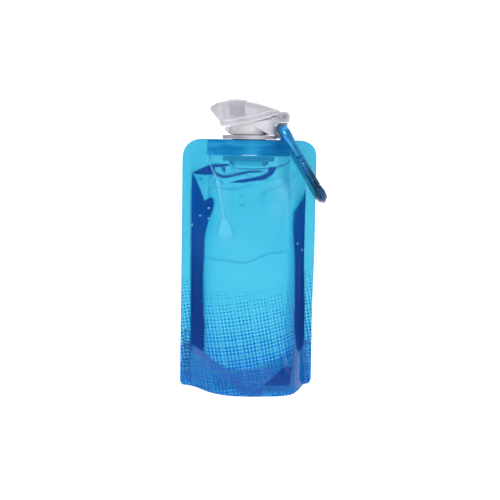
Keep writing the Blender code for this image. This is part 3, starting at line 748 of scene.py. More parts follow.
def paint_front(obj):
    """Where the film is creased, printed or sealed, and where painted shade and painted highlights lie on
    it.
    """
    co = points_of(obj)
    p = co[:, [0, 2]]
    ax, z = np.abs(p[:, 0]), p[:, 1]
    # painted shade: the dark side bands where the walls turn away from view
    band_shade = np.maximum(area_mask(p, LEFT_BAND, 1.0), area_mask(p, RIGHT_BAND, 1.0))
    reach = np.where(p[:, 0] < 0, 45.8, 46.8 + 1.9 * sstep(112.0, 50.0, z))
    band_shade = band_shade * sstep(0.0, -0.7, ax - reach)
    dl, _ = line_distance(p, LEFT_BAND, closed=True)
    dr, _ = line_distance(p, RIGHT_BAND, closed=True)
    near = np.minimum(dl, dr)
    # painted shade that deepens towards the side bands
    band_shade_edge = np.exp(-near / 5.0) * (ax < 46.5) * sstep(46.8, 45.5, ax)
    # painted shade in the folds and creases, and along the wave and the loop
    fold = np.zeros(len(p))
    for poly in (FOLD_A, FOLD_B, FOLD_C, FOLD_D):
        fold = np.maximum(fold, area_mask(p, poly, 0.9))
    fold = np.maximum(fold, 0.8 * line_mask(p, curve(ARC_RIGHT), 0.6))
    for crease in CREASES:
        fold = np.maximum(fold, 0.55 * line_mask(p, crease, 0.7))
    # painted shade: the dark triangle where the base gusset lies behind the front
    tuck = area_mask(p, laid([(262, 387.2), (270, 379.5), (279, 371.5), (287, 364.5),
                              (293, 367.5), (291.5, 378), (289.8, 386.2)]), 2.0)
    fold = np.maximum(fold, 0.85 * tuck)
    line = laid([(292.4, 345), (294.2, 352), (293.4, 361), (290.6, 370)])
    fold = np.maximum(fold, 0.7 * line_mask(p, curve(line), 2.0))
    fold = np.maximum(fold, 0.32 * line_mask(p, curve(WAVE), 0.9))
    fold = np.maximum(fold, 0.22 * line_mask(p, curve(np.vstack([LOOP, LOOP[:1]])),
                                             1.1, taper=False))
    # the U seal's line, and painted shade below it, on the lower right skirt and over the base
    seal_and_shade = line_mask(p, curve(U_SEAL), 1.1, taper=False)
    d, t = line_distance(p, curve(U_SEAL))
    below = z < np.interp(p[:, 0], *zip(*sorted(map(tuple, U_SEAL))))
    wide = np.where(p[:, 0] < 10, 5.6, 3.0)
    shade = 0.75 * sstep(wide + 2.2, wide - 2.2, d) * below
    right_skirt = 0.62 * area_mask(p, laid([(296, 352), (306, 341), (308, 372),
                                            (306, 384), (296, 389), (289, 387)]), 3.0)
    shade = np.maximum(shade, right_skirt)
    floor = area_mask(p, laid([(230, 369.5), (258, 370), (287, 364.5), (262, 387),
                               (246, 387)]), 4.0)
    shade = np.maximum(shade, 0.45 * floor)
    # painted highlights: the streak, the loop, soft patches and the drops
    painted_highlight = 0.55 * line_mask(p, curve(STREAK), 1.2)
    loop = curve(np.vstack([LOOP, LOOP[:1]]))
    painted_highlight = np.maximum(painted_highlight, 0.34 * area_mask(p, loop, 5.0))
    for cx, cy, rx, ry, amount in ((285, 186, 15, 11, 0.30), (278, 206, 12, 12, 0.24),
                                   (240, 246, 26, 16, 0.10), (284, 174, 9, 7, 0.14)):
        c = laid([(cx, cy)])[0]
        q = ((p[:, 0] - c[0]) / (rx * 0.8)) ** 2 + ((p[:, 1] - c[1]) / (ry * 0.8)) ** 2
        painted_highlight = np.maximum(painted_highlight, amount * np.exp(-q))
    for drop in DROPS:
        dd = np.linalg.norm(p - drop, axis=1)
        painted_highlight = np.maximum(painted_highlight, 0.6 * sstep(0.9, 0.4, dd))
    # painted shade in soft blobs and along the bands' inner edges
    painted_shade = np.zeros(len(p))
    for cx, cy, rx, ry, amount in ((203, 181, 7, 12, 0.55), (265, 200, 6, 9, 0.35),
                                   (214, 180, 6, 9, 0.35), (288, 220, 9, 60, 0.30),
                                   (213, 240, 7, 40, 0.18)):
        c = laid([(cx, cy)])[0]
        q = ((p[:, 0] - c[0]) / (rx * 0.8)) ** 2 + ((p[:, 1] - c[1]) / (ry * 0.8)) ** 2
        painted_shade = np.maximum(painted_shade, amount * np.exp(-q))
    painted_shade = np.maximum(painted_shade, 0.9 * band_shade_edge)
    side_rise = 12.0 * sstep(20.0, 50.0, p[:, 0]) + 6.0 * sstep(25, 50, -p[:, 0])
    dens = np.clip((96.0 + side_rise - z) / (90.0 + 0.6 * side_rise), 0, 1)
    flange = sstep(45.9, 46.7, ax) * (1.0 - band_shade)
    flange = np.maximum(flange, sstep(160.0, 190.0, z) * sstep(34, 42, ax)
                        * (1.0 - band_shade))
    skirt = sstep(-0.6, 0.6, bottom_weld(p[:, 0]) - z) * sstep(46.8, 45.8, ax)
    dens = dens * (1.0 - 0.30 * skirt)
    band_shade = np.maximum(band_shade, 0.80 * tuck)
    tick = np.zeros(len(p))                 # two columns of small marks
    for left, right, high, foot in ((183.7, 185.6, 328, 377),
                                    (187.2, 189.0, 340, 377)):
        a, b = laid([(left, high), (right, foot)])
        tick = np.maximum(tick, (p[:, 0] > a[0]) * (p[:, 0] < b[0])
                          * (z < a[1]) * (z > b[1]) * 1.0)
    set_attribute(obj, "tick", tick)
    set_attribute(obj, "joined", joined_to_base(p))
    for key, value in (("band_shade", band_shade), ("fold", fold), ("painted_shade", painted_shade),
                       ("painted_highlight", painted_highlight), ("dens", dens), ("flange", flange),
                       ("seal_and_shade", np.maximum(seal_and_shade * 0.9, shade)), ("skirt", skirt)):
        set_attribute(obj, key, np.clip(value, 0, 1))


def joined_to_base(p):
    """1 where the wall is welded to the fitment's base."""
    return sstep(33.2, 32.7, np.abs(p[:, 0])) * sstep(187.9, 188.3, p[:, 1])


def paint_back(obj):
    co = points_of(obj)
    p = co[:, [0, 2]]
    ax, z = np.abs(p[:, 0]), p[:, 1]
    inner = 38.2 - 2.5 * np.sin(z / 31.0)
    # painted shade: a faint side band on the back wall
    band_shade = sstep(inner - 0.8, inner + 0.8, ax) * sstep(46.8, 45.9, ax)
    band_shade *= 0.10 * sstep(178.0, 150.0, z + 0.9 * (46 - ax)) * sstep(28, 38, z + 0.4 * ax)
    # painted shade beside the back's side band
    painted_shade = np.exp(-np.abs(ax - inner) / 5.0) * (ax < 46.5) * 0.3
    dens = np.zeros(len(p))
    flange = sstep(45.9, 46.7, ax)
    # painted shade along the back wall's creases
    fold = np.zeros(len(p))
    for line in ([(-41, 176), (-24, 171), (-6, 174), (10, 168), (30, 171)],
                 [(-30, 163), (-12, 160), (6, 165)], [(14, 158), (28, 164), (41, 176)]):
        fold = np.maximum(fold, 0.3 * line_mask(p, curve(line), 1.2))
    weld = bottom_weld(p[:, 0], 1)
    skirt = sstep(-0.6, 0.6, weld - z) * sstep(46.8, 45.8, ax)
    seal_and_shade = sstep(1.6, 0.4, np.abs(z - weld)) * (ax < 46.5)
    zero = np.zeros(len(p))
    set_attribute(obj, "tick", zero)
    set_attribute(obj, "joined", 0.6 * joined_to_base(p))
    for key, value in (("band_shade", band_shade), ("fold", fold), ("painted_shade", painted_shade),
                       ("painted_highlight", zero), ("dens", dens), ("flange", flange),
                       ("seal_and_shade", 0.7 * seal_and_shade), ("skirt", skirt)):
        set_attribute(obj, key, np.clip(value, 0, 1))


def srgb(r, g, b):
    return tuple((c / 255 / 12.92) if c / 255 <= 0.04045
                 else ((c / 255 + 0.055) / 1.055) ** 2.4 for c in (r, g, b))


def film_material(name, tilt, pitch, share):
    """Tinted clear film, with its halftone print, painted shade in its folds and side bands, and painted
    highlights.

    share is how much of the light the film's own colour takes; the rest passes.
    """
    t = Tree(name)
    x, y, z = t.xyz()
    band_shade, fold, painted_shade = t.attr("band_shade"), t.attr("fold"), t.attr("painted_shade")
    painted_highlight, dens, flange = t.attr("painted_highlight"), t.attr("dens"), t.attr("flange")
    seal_and_shade, skirt = t.attr("seal_and_shade"), t.attr("skirt")
    # halftone: rows of round dots that grow towards the base
    c, s = math.cos(math.radians(tilt)), math.sin(math.radians(tilt))
    k = 2 * math.pi / (pitch * MM)
    a = t.math("ADD", t.math("MULTIPLY", x, c * k), t.math("MULTIPLY", z, s * k))
    b = t.math("ADD", t.math("MULTIPLY", x, -s * k), t.math("MULTIPLY", z, c * k))
    wave = t.math("ADD", t.math("COSINE", a), t.math("COSINE", b))
    screen = t.math("MULTIPLY_ADD", wave, 0.25, c=0.5)
    level = t.math("SUBTRACT", 1.02, t.math("MULTIPLY", dens, 0.86))
    dots = t.remap(screen, t.math("SUBTRACT", level, 0.06), t.math("ADD", level, 0.06))
    dots = t.math("MULTIPLY", dots, t.remap(dens, 0.02, 0.20), clamp=True)
    gaps = t.math("MAXIMUM", t.math("COSINE", t.math("MULTIPLY", a, 0.2)),
                  t.math("COSINE", t.math("MULTIPLY", b, 0.25)))
    dots = t.math("MULTIPLY", dots, t.remap(gaps, 0.955, 0.995, 1.0, 0.45))
    beat = t.math("SINE", t.math("MULTIPLY", z, 2 * math.pi / (3.0 * MM)))
    ticks = t.math("MULTIPLY", t.attr("tick"), t.remap(beat, -0.35, -0.05))
    weld = t.attr("joined")
    flow = t.noise(60, 3, 0.5, stretch=(0.22, 1.0, 4.0))
    # the weld zone's painted highlight down its middle and painted shade to its right
    middle_highlight = t.remap(t.math("ABSOLUTE", t.math("SUBTRACT", x, 0.001)), 0.001, 0.009,
                     1.0, 0.0)
    right_shade = t.remap(x, 0.006, 0.020)
    cloud = t.noise(45, 3, 0.5, stretch=(1.0, 1.0, 0.45))
    streaks = t.noise(160, 2, 0.5, stretch=(1.6, 1.0, 0.12))

    # the chain mixes painted shade (side bands, folds, the seal's shade, soft blobs) and painted highlights
    # into the film's colour and tint
    def chain(base0, base1, flange_c, painted_shade_c, print_c, skirt_c, seal_and_shade_c, fold_shade_c,
              navy0, navy1, painted_highlight_c):
        col = t.mix(cloud, base0, base1)
        col = t.mix(t.math("MULTIPLY", flange, 0.8), col, flange_c)
        col = t.mix(painted_shade, col, painted_shade_c)
        col = t.mix(t.math("MULTIPLY", skirt, 0.55), col, skirt_c)
        col = t.mix(dots, col, print_c)
        col = t.mix(t.math("MULTIPLY", seal_and_shade, 0.80), col, seal_and_shade_c)
        col = t.mix(t.math("MULTIPLY", ticks, 0.90), col, navy1)
        col = t.mix(fold, col, fold_shade_c)
        # the side bands' painted shade, darker low down, with paler streaks of painted sheen
        nav = t.mix(t.remap(z, 0.060, 0.150), navy1, navy0)
        nav = t.mix(t.math("MULTIPLY", t.remap(streaks, 0.52, 0.74), 0.35), nav,
                    tuple(1.5 * v + 0.004 for v in navy0))
        col = t.mix(band_shade, col, nav)
        return t.mix(painted_highlight, col, painted_highlight_c)

    colour = chain(srgb(58, 186, 226), srgb(74, 196, 232), srgb(76, 194, 232),
                   srgb(22, 164, 214), srgb(6, 112, 206), srgb(24, 146, 214),
                   srgb(10, 66, 152), srgb(14, 78, 162), srgb(10, 70, 142),
                   srgb(12, 50, 118), srgb(150, 216, 242))
    tint = chain((0.50, 0.835, 0.885), (0.54, 0.85, 0.895), (0.54, 0.845, 0.885),
                 (0.34, 0.775, 0.865), (0.18, 0.53, 0.79), (0.40, 0.79, 0.89),
                 (0.14, 0.40, 0.72), (0.16, 0.42, 0.72), (0.12, 0.28, 0.58),
                 (0.10, 0.20, 0.50), (0.80, 0.94, 0.97))
    # where the wall is welded to the base: the base's colour, a painted highlight down the middle, painted
    # shade to the right and a painted glint line
    band = t.mix(t.remap(flow, 0.35, 0.65), srgb(16, 112, 172), srgb(40, 148, 198))
    band = t.mix(t.math("MULTIPLY", right_shade, 0.65), band, srgb(8, 96, 164))
    band = t.mix(t.math("MULTIPLY", middle_highlight, 0.55), band, srgb(48, 160, 206))
    glint = t.math("MULTIPLY", t.remap(t.math("ABSOLUTE", t.math("SUBTRACT", z, 0.1889)),
                                       0.0002, 0.0005, 1.0, 0.0),
                   t.remap(t.math("ABSOLUTE", t.math("ADD", x, 0.001)), 0.004, 0.0070,
                           1.0, 0.0))
    band = t.mix(t.math("MULTIPLY", glint, 0.75), band, srgb(170, 214, 238))
    colour = t.mix(weld, colour, band)
    tint = t.mix(weld, tint, (0.34, 0.70, 0.88))
    solid = t.math("ADD", share, t.math("MULTIPLY", band_shade, 0.66))
    solid = t.math("ADD", solid, t.math("MULTIPLY", weld, 0.62))
    solid = t.math("ADD", solid, t.math("MULTIPLY", ticks, 0.40))
    solid = t.math("ADD", solid, t.math("MULTIPLY", fold, 0.30))
    solid = t.math("ADD", solid, t.math("MULTIPLY", dots, 0.30))
    solid = t.math("ADD", solid, t.math("MULTIPLY", seal_and_shade, 0.34))
    solid = t.math("ADD", solid, t.math("MULTIPLY", painted_highlight, 0.20))
    edge = t.node("Fresnel", IOR=1.42).outputs[0]
    solid = t.math("ADD", solid, t.math("MULTIPLY", edge, 0.34), clamp=True)
    fine = t.noise(900, 2, 0.5)
    slow = t.noise(130, 2, 0.5)
    height = t.math("ADD", t.math("MULTIPLY", slow, 1.0), t.math("MULTIPLY", fine, 0.06))
    normal = t.bump(height, 0.10, 0.0008)
    rough = t.remap(t.noise(70, 3, 0.6), 0.3, 0.7, 0.10, 0.22)
    rough = t.math("ADD", rough, t.math("MULTIPLY", band_shade, 0.25))
    shine = t.math("MULTIPLY_ADD", t.math("MAXIMUM", band_shade, weld), -0.56, c=0.60,
                   clamp=True)
    gloss = t.principled(Base_Color=colour, Roughness=rough, Normal=normal,
                         Specular_IOR_Level=0.0, Coat_Weight=shine,
                         Coat_Roughness=0.12)
    return t.done(t.mixed(solid, t.clear(tint), gloss))


front = film_wall("front_film", -1)
paint_front(front)
front.data.materials.append(film_material("front_film_mat", 10.0, 2.75, 0.20))
back = film_wall("back_film", 1)
paint_back(back)
back.data.materials.append(film_material("back_film_mat", 9.0, 2.6, 0.20))


# ---- the base gusset ------------------------------------------------------------------
def wall_inside(x, z, side=None):
    x = x * half_width(z) / HALF_W
    front, rear = wall_gap(x, z, -1), wall_gap(x, z, 1)
    return front if side is None else np.where(side < 0, front, rear)


def base_gusset(name):
    xs = np.concatenate([np.linspace(-54, -46.8, 10), np.linspace(-46.3, 46.3, 96),
                         np.linspace(46.8, 54, 10)])
    ts = np.concatenate([np.linspace(-1, -0.7, 16), np.linspace(-0.68, 0.68, 57),
                         np.linspace(0.7, 1, 16)])
    x0, t0 = np.meshgrid(xs, ts)
    side, a = np.where(t0 < 0, -1.0, 1.0), np.abs(t0)
    low, weld = bottom_edge(x0), bottom_weld(x0, side)
    z_leg = low + (weld - low) * (1.0 - a) / 0.3
    y_leg = wall_inside(x0, z_leg, side) - 0.35
    k = np.minimum(1.0, a / 0.7)
    u = np.minimum(1.0, np.abs(x0) / 46.0)
    mid = 0.5 + 34.5 * sstep(0.45, 1.0, u) ** 1.4
    y_mid = (wall_inside(x0, weld, side) - 0.35) * k
    z_mid = mid + (weld - mid) * sstep(0.42, 1.0, k) ** 1.15
    leg = a >= 0.7
    y, z = np.where(leg, y_leg, y_mid), np.where(leg, z_leg, z_mid)
    # soft creases that run from the corners of the base towards its middle
    crease = np.zeros_like(z)
    for sx in (-1, 1):
        for sy in (-1, 1):
            for end in ((4.0, 3.0), (12.0, 9.0), (20.0, 1.5)):
                d, q = line_distance(
                    np.stack([x0.ravel() * sx, (side * y * sy).ravel()], 1),
                    [(43.0, 6.0 if sy > 0 else 3.0), (end[0], end[1])])
                crease += (0.9 * np.exp(-(d / 1.3) ** 2) * (1 - q)).reshape(z.shape)
    free = sstep(0.0, 1.5, z_mid - 0.6) * ~leg * sstep(0.68, 0.5, a) * sstep(
        44.0, 38.0, np.abs(x0))
    z = z + free * (crease + 0.35 * np.sin(x0 / 2.7 + y / 3.9))
    x = x0 * half_width(z) / HALF_W + flare(x0, z)
    rows, cols = x.shape
    verts = np.stack([x.ravel(), (side * y).ravel(), z.ravel()], 1)
    faces = []
    for j in range(rows - 1):
        for i in range(cols - 1):
            a0 = j * cols + i
            faces.append((a0, a0 + 1, a0 + cols + 1, a0 + cols))
    obj = add_object(name, mesh_from(name, verts, faces))
    mod = obj.modifiers.new("film", "SOLIDIFY")
    mod.thickness = FILM_T * MM
    mod.offset = -1.0
    mod.use_even_offset = False
    bake_modifiers(obj)
    obj.data.shade_smooth()
    co = points_of(obj)
    ax = np.abs(co[:, 0])
    weld = bottom_weld(co[:, 0], co[:, 1])
    seal = sstep(2.2, 0.6, np.abs(co[:, 2] - weld)) * sstep(
        3.0, 1.0, np.abs(np.abs(co[:, 1]) - wall_inside(co[:, 0], co[:, 2])))
    set_attribute(obj, "seal", np.clip(seal, 0, 1))
    # the fold that lies across the right of the base, painted darker as shade, and a painted highlight along
    # its edge
    q = co[:, :2]
    gusset_fold_shade = area_mask(q, [(9, -20), (22, -17), (40, -6), (44, 2), (40, 8), (22, -2),
                          (14, -12)], 3.0)
    painted_highlight = np.exp(-(line_distance(q, [(8, -22), (14, -14), (22, -6)])[0] / 1.3) ** 2)
    centre = area_mask(q, [(-30, -14), (-6, -24), (20, -26), (36, -14), (40, 6),
                           (20, 18), (-20, 16)], 8.0)
    set_attribute(obj, "gusset_fold_shade", gusset_fold_shade)
    set_attribute(obj, "painted_highlight", painted_highlight)
    set_attribute(obj, "centre", centre)
    set_attribute(obj, "welded", sstep(45.6, 46.6, ax))
    return obj


def gusset_material():
    t = Tree("gusset_film_mat")
    x, y, z = t.xyz()
    seal, gusset_fold_shade, painted_highlight, centre = (t.attr(n) for n in ("seal", "gusset_fold_shade", "painted_highlight", "centre"))
    k = 2 * math.pi / (2.4 * MM)
    wave = t.math("ADD", t.math("COSINE", t.math("MULTIPLY", x, k)),
                  t.math("COSINE", t.math("MULTIPLY", y, k)))
    screen = t.math("MULTIPLY_ADD", wave, 0.25, c=0.5)
    dots = t.math("MULTIPLY", t.remap(screen, 0.58, 0.74), 0.25)
    cloud = t.noise(60, 3, 0.55)

    def chain(a, b, seal_c, centre_c, gusset_fold_shade_c, painted_highlight_c, dot_c):
        col = t.mix(cloud, a, b)
        col = t.mix(dots, col, dot_c)
        col = t.mix(t.math("MULTIPLY", centre, 0.8), col, centre_c)
        col = t.mix(seal, col, seal_c)
        # painted shade in the fold, then a painted highlight along its edge
        col = t.mix(gusset_fold_shade, col, gusset_fold_shade_c)
        return t.mix(t.math("MULTIPLY", painted_highlight, 0.7), col, painted_highlight_c)

    colour = chain(srgb(20, 138, 212), srgb(34, 152, 220), srgb(12, 98, 190),
                   srgb(12, 94, 188), srgb(12, 62, 142), srgb(60, 170, 226),
                   srgb(56, 172, 228))
    tint = chain((0.48, 0.84, 0.95), (0.54, 0.87, 0.96), (0.40, 0.74, 0.92),
                 (0.34, 0.70, 0.92), (0.22, 0.48, 0.78), (0.6, 0.88, 0.97),
                 (0.60, 0.90, 0.97))
    solid = t.math("ADD", 0.16, t.math("MULTIPLY", gusset_fold_shade, 0.40))
    solid = t.math("ADD", solid, t.math("MULTIPLY", centre, 0.08))
    edge = t.node("Fresnel", IOR=1.42).outputs[0]
    solid = t.math("ADD", solid, t.math("MULTIPLY", edge, 0.5), clamp=True)
    welded = t.attr("welded")            # one with the walls inside the side seals
    tint = t.mix(welded, tint, (0.90, 0.965, 0.985))
    solid = t.math("MULTIPLY", solid, t.math("MULTIPLY_ADD", welded, -0.80, c=1.0))
    normal = t.bump(t.noise(170, 2, 0.5), 0.2, 0.0012)
    gloss = t.principled(Base_Color=colour, Normal=normal, Coat_Weight=0.5,
                         Coat_Roughness=0.12, Specular_IOR_Level=0.0,
                         Roughness=t.remap(t.noise(80, 2, 0.5), 0.3, 0.7, 0.10, 0.2))
    return t.done(t.mixed(solid, t.clear(tint), gloss))


gusset = base_gusset("base_gusset")
gusset.data.materials.append(gusset_material())


# ---- the welded fitment: ribbed base, lower ring, tube and threaded neck ------------
def boat(t, inset):
    return ((33.0 - inset) * math.cos(t),
            (15.5 - inset) * math.copysign(abs(math.sin(t)) ** 1.8, math.sin(t)))


def oval(t, inset):
    return (21.0 - inset) * math.cos(t), (14.6 - inset) * math.sin(t)


def fitment_loops():
    """Loops from the neck's rim down the outside and back up the bore."""
    loops = [("c", 12.9, 212.0), ("c", 13.2, 211.7), ("c", 13.2, 208.0),
             ("c", 13.2, 204.0), ("c", 13.2, 201.6), ("c", 13.35, 201.15),
             ("c", 13.8, 201.0), ("b", 6.0, 201.0), ("b", 0.45, 201.0),
             ("b", 0.12, 200.86), ("b", 0.0, 200.55)]
    z = 199.6
    for _ in range(5):                      # weld ribs with a groove under each
        loops += [("b", 0.0, z), ("b", 0.06, z - 0.12), ("b", 0.24, z - 0.26),
                  ("b", 0.24, z - 0.50), ("b", 0.06, z - 0.64), ("b", 0.0, z - 0.76)]
        z -= 2.2
    loops += [("b", 0.0, 188.45), ("b", 0.12, 188.14), ("b", 0.45, 188.0),
              ("o", -0.25, 188.0), ("o", 0.0, 187.7), ("o", 0.0, 186.4),
              ("o", 0.3, 186.2), ("o", 0.3, 185.8), ("o", 0.0, 185.6),
              ("o", 0.0, 184.4), ("o", 0.12, 184.12), ("o", 0.4, 184.0),
              ("c", 14.3, 184.0), ("c", 14.0, 183.7), ("c", 14.0, 180.35),
              ("c", 13.7, 180.0), ("c", 11.35, 180.0), ("c", 11.0, 180.35),
              ("c", 11.0, 190.0), ("c", 11.0, 200.0), ("c", 11.0, 211.7),
              ("c", 11.3, 212.0)]
    return loops


def helix(name, radius, z0, turns, start, lead, section):
    """A thread ridge whose ends taper into the wall."""
    n = int(72 * turns)
    path, radii = [], []
    for i in range(n + 1):
        q = i / n
        a = math.radians(start) + 2 * math.pi * turns * q
        path.append((radius * math.cos(a), radius * math.sin(a), z0 + lead * turns * q))
        radii.append(section * (0.30 + 0.70 * float(
            sstep(0.0, 0.06, q) * sstep(1.0, 0.94, q))))
    return sweep(name, path, radii, 12)


def fitment(name):
    n = 168
    angles = [2 * math.pi * i / n for i in range(n)]
    loops = fitment_loops()
    verts = []
    for kind, r, z in loops:
        for t in angles:
            if kind == "c":
                verts.append((r * math.cos(t), r * math.sin(t), z))
            else:
                x, y = boat(t, r) if kind == "b" else oval(t, r)
                verts.append((x, y, z))
    m = len(loops)
    faces = []
    for k in range(m):
        l = (k + 1) % m
        for i in range(n):
            j = (i + 1) % n
            faces.append((k * n + i, l * n + i, l * n + j, k * n + j))
    shell = smooth(recalc(add_object(name, mesh_from(name, verts, faces))), 30)
    parts = [shell]
    for k in range(2):
        parts.append(helix(f"neck_ridge_{k}", 13.5, 204.8, 1.0, 20 + 180 * k, 6.0, 0.75))
    parts.append(turned("neck_bead", [(13.1, 203.3), (13.75, 203.3), (13.75, 202.7),
                                      (13.1, 202.7)], 96, corner=0.2))
    fin = [(15.6, 184.2), (15.6, 181.6), (15.2, 181.0), (13.6, 181.0), (13.6, 184.2)]
    for sx in (-1, 1):                      # small ribs between tube and lower ring
        parts.append(plate(f"tube_fin_{sx}", [(sx * x, z) for x, z in fin], -1.1, 1.1,
                           bevel=0.2))
    obj = joined(name, parts)
    smooth(obj, 30)
    co = points_of(obj)
    r = np.hypot(co[:, 0], co[:, 1])
    # painted shade at the tube's sides
    rim = sstep(10.5, 12.6, np.abs(co[:, 0])) * (co[:, 2] < 184.2)
    set_attribute(obj, "tube_edge_shade", rim)
    set_attribute(obj, "tube", (co[:, 2] < 184.05) * (r < 14.4) * 1.0)
    return obj


def fitment_material():
    """Blue translucent plastic with flow marks and a satin skin."""
    t = Tree("fitment_mat")
    x, y, z = t.xyz()
    flow = t.noise(55, 3, 0.5, stretch=(1.0, 1.0, 5.0))
    bands = t.noise(90, 2, 0.5, stretch=(0.10, 0.10, 6.0))
    # painted highlight down a column near the middle
    centre = t.remap(t.math("ABSOLUTE", t.math("SUBTRACT", x, 0.004)), 0.0005, 0.0062,
                     1.0, 0.0)
    col = t.mix(flow, srgb(8, 104, 188), srgb(18, 120, 204))
    col = t.mix(t.math("MULTIPLY", t.remap(bands, 0.45, 0.7), 0.45), col,
                srgb(4, 78, 140))
    col = t.mix(t.math("MULTIPLY", centre, 0.55), col, srgb(44, 140, 190))
    # painted highlight along the base's lower rim
    rim = t.remap(z, 0.1893, 0.1883)
    col = t.mix(t.math("MULTIPLY", rim, 0.35), col, srgb(40, 140, 196))
    # painted shade at the tube's sides, which are also less see-through
    tube, tube_edge_shade = t.attr("tube"), t.attr("tube_edge_shade")
    col = t.mix(tube, col, srgb(58, 176, 218))
    col = t.mix(tube_edge_shade, col, srgb(12, 72, 150))
    tint = t.mix(tube, (0.30, 0.66, 0.88), (0.93, 0.98, 0.99))
    tint = t.mix(tube_edge_shade, tint, (0.22, 0.44, 0.74))
    solid = t.math("SUBTRACT", 0.80, t.math("MULTIPLY", tube, 0.73))
    solid = t.math("ADD", solid, t.math("MULTIPLY", tube_edge_shade, 0.55), clamp=True)
    grain = t.math("ADD", t.math("MULTIPLY", t.noise(420, 2, 0.5), 0.4),
                   t.math("MULTIPLY", flow, 0.6))
    rough = t.remap(t.noise(120, 2, 0.6), 0.3, 0.7, 0.22, 0.34)
    body = t.principled(Base_Color=col, Roughness=rough, Specular_IOR_Level=0.45,
                        Normal=t.bump(grain, 0.12, 0.0006))
    return t.done(t.mixed(solid, t.clear(tint), body))


base = fitment("fitment")
base.data.materials.clear()
base.data.materials.append(fitment_material())
for poly in base.data.polygons:
    poly.material_index = 0


# ---- plastics of the cap --------------------------------------------------------------
def frosted(name, light, dark, warm, share, bump_size=520, tint=(0.90, 0.90, 0.93),
            extra=None, rough=(0.40, 0.58), more=None):
    """Natural frosted plastic: milky, a little mottled, finely grained."""
    t = Tree(name)
    cloud = t.noise(48, 3, 0.55, distortion=0.3)
    mott = t.noise(210, 3, 0.6)
    col = t.mix(t.remap(cloud, 0.20, 0.80), dark, light)
    col = t.mix(t.math("MULTIPLY", t.remap(mott, 0.42, 0.75), 0.20), col, warm)
    if extra:
        col = extra(t, col)
    grain = t.math("ADD", t.math("MULTIPLY", t.noise(bump_size * 3, 2, 0.6), 0.8),
                   t.math("MULTIPLY", mott, 0.2))
    r = t.remap(t.noise(160, 2, 0.6), 0.3, 0.7, *rough)
    body = t.principled(Base_Color=col, Roughness=r, Specular_IOR_Level=0.40,
                        Normal=t.bump(grain, 0.10, 0.0002))
    if share >= 1.0:
        return t.done(body)
    edge = t.node("Fresnel", IOR=1.35).outputs[0]
    solid = t.math("ADD", share, t.math("MULTIPLY", edge, 0.30), clamp=True)
    if more:
        solid = more(t, solid)
    return t.done(t.mixed(solid, t.clear(tint), body))


# ---- the tether ring with its eyelet ---------------------------------------------------
def tether_ring(name):
    ring = turned(name, [(14.75, 204.5), (20.95, 204.5), (21.45, 204.0),
                         (21.45, 203.25), (21.15, 203.05), (21.15, 202.75),
                         (21.45, 202.55), (21.45, 201.8), (21.05, 201.4),
                         (14.75, 201.4)], 144, corner=0.18)
    tab = plate("eyelet_tab", rounded(
        [(16.6, 202.0), (22.5, 202.0), (28.4, 205.2)] + arc(25.3, 209.9, 4.3, -50, -4, 14)
        + [(30.3, 212.4), (30.5, 214.9), (25.2, 214.8), (23.5, 213.7), (22.3, 212.6),
           (20.6, 211.5), (20.6, 204.3), (16.6, 204.3)], 0.3, 2),
        -2.6, 2.6, bevel=0.25)
    boolean(ring, tab, "UNION")
    hole = turned_solid("eyelet_hole", [(0, 9.0), (3.25, 9.0), (3.25, -9.0), (0, -9.0)],
                        48, corner=0)
    hole.data.transform(Matrix.Translation((25.3 * MM, 0, 209.9 * MM))
                        @ Matrix.Rotation(math.radians(90), 4, "X"))
    boolean(ring, hole, "DIFFERENCE")
    return smooth(ring, 34)


def ring_tones(t, col):
    """A painted highlight down the middle of the ring, and a lug as pale as the hinge above it."""
    x, y, z = t.xyz()
    # painted highlight down the middle of the ring
    middle_highlight = t.remap(t.math("ABSOLUTE", t.math("SUBTRACT", x, 0.002)), 0.001, 0.013,
                     1, 0)
    col = t.mix(t.math("MULTIPLY", middle_highlight, 0.45), col, srgb(222, 216, 222))
    return t.mix(t.remap(z, 0.2046, 0.2056), col, srgb(196, 195, 204))


tether = tether_ring("tether_loop_ring")
tether.data.materials.clear()
tether.data.materials.append(frosted(
    "ring_mat", srgb(156, 149, 163), srgb(140, 133, 150), srgb(166, 160, 170), 0.94,
    rough=(0.30, 0.45), extra=ring_tones))


# ---- the screw cap: collar, strut, hinge tower and spout stub ---------------------------
def cylinder_mm(name, r, z0, z1, at=(0.0, 0.0), steps=96, corner=0.0):
    obj = turned_solid(name, [(0, z1), (r, z1), (r, z0), (0, z0)], steps, corner=corner)
    obj.data.transform(Matrix.Translation((at[0] * MM, at[1] * MM, 0)))
    return obj


def pin_bore(name, x, z, r, half):
    obj = turned_solid(name, [(0, half), (r, half), (r, -half), (0, -half)], 40,
                       corner=0)
    obj.data.transform(Matrix.Translation((x * MM, 0, z * MM))
                       @ Matrix.Rotation(math.radians(90), 4, "X"))
    return obj


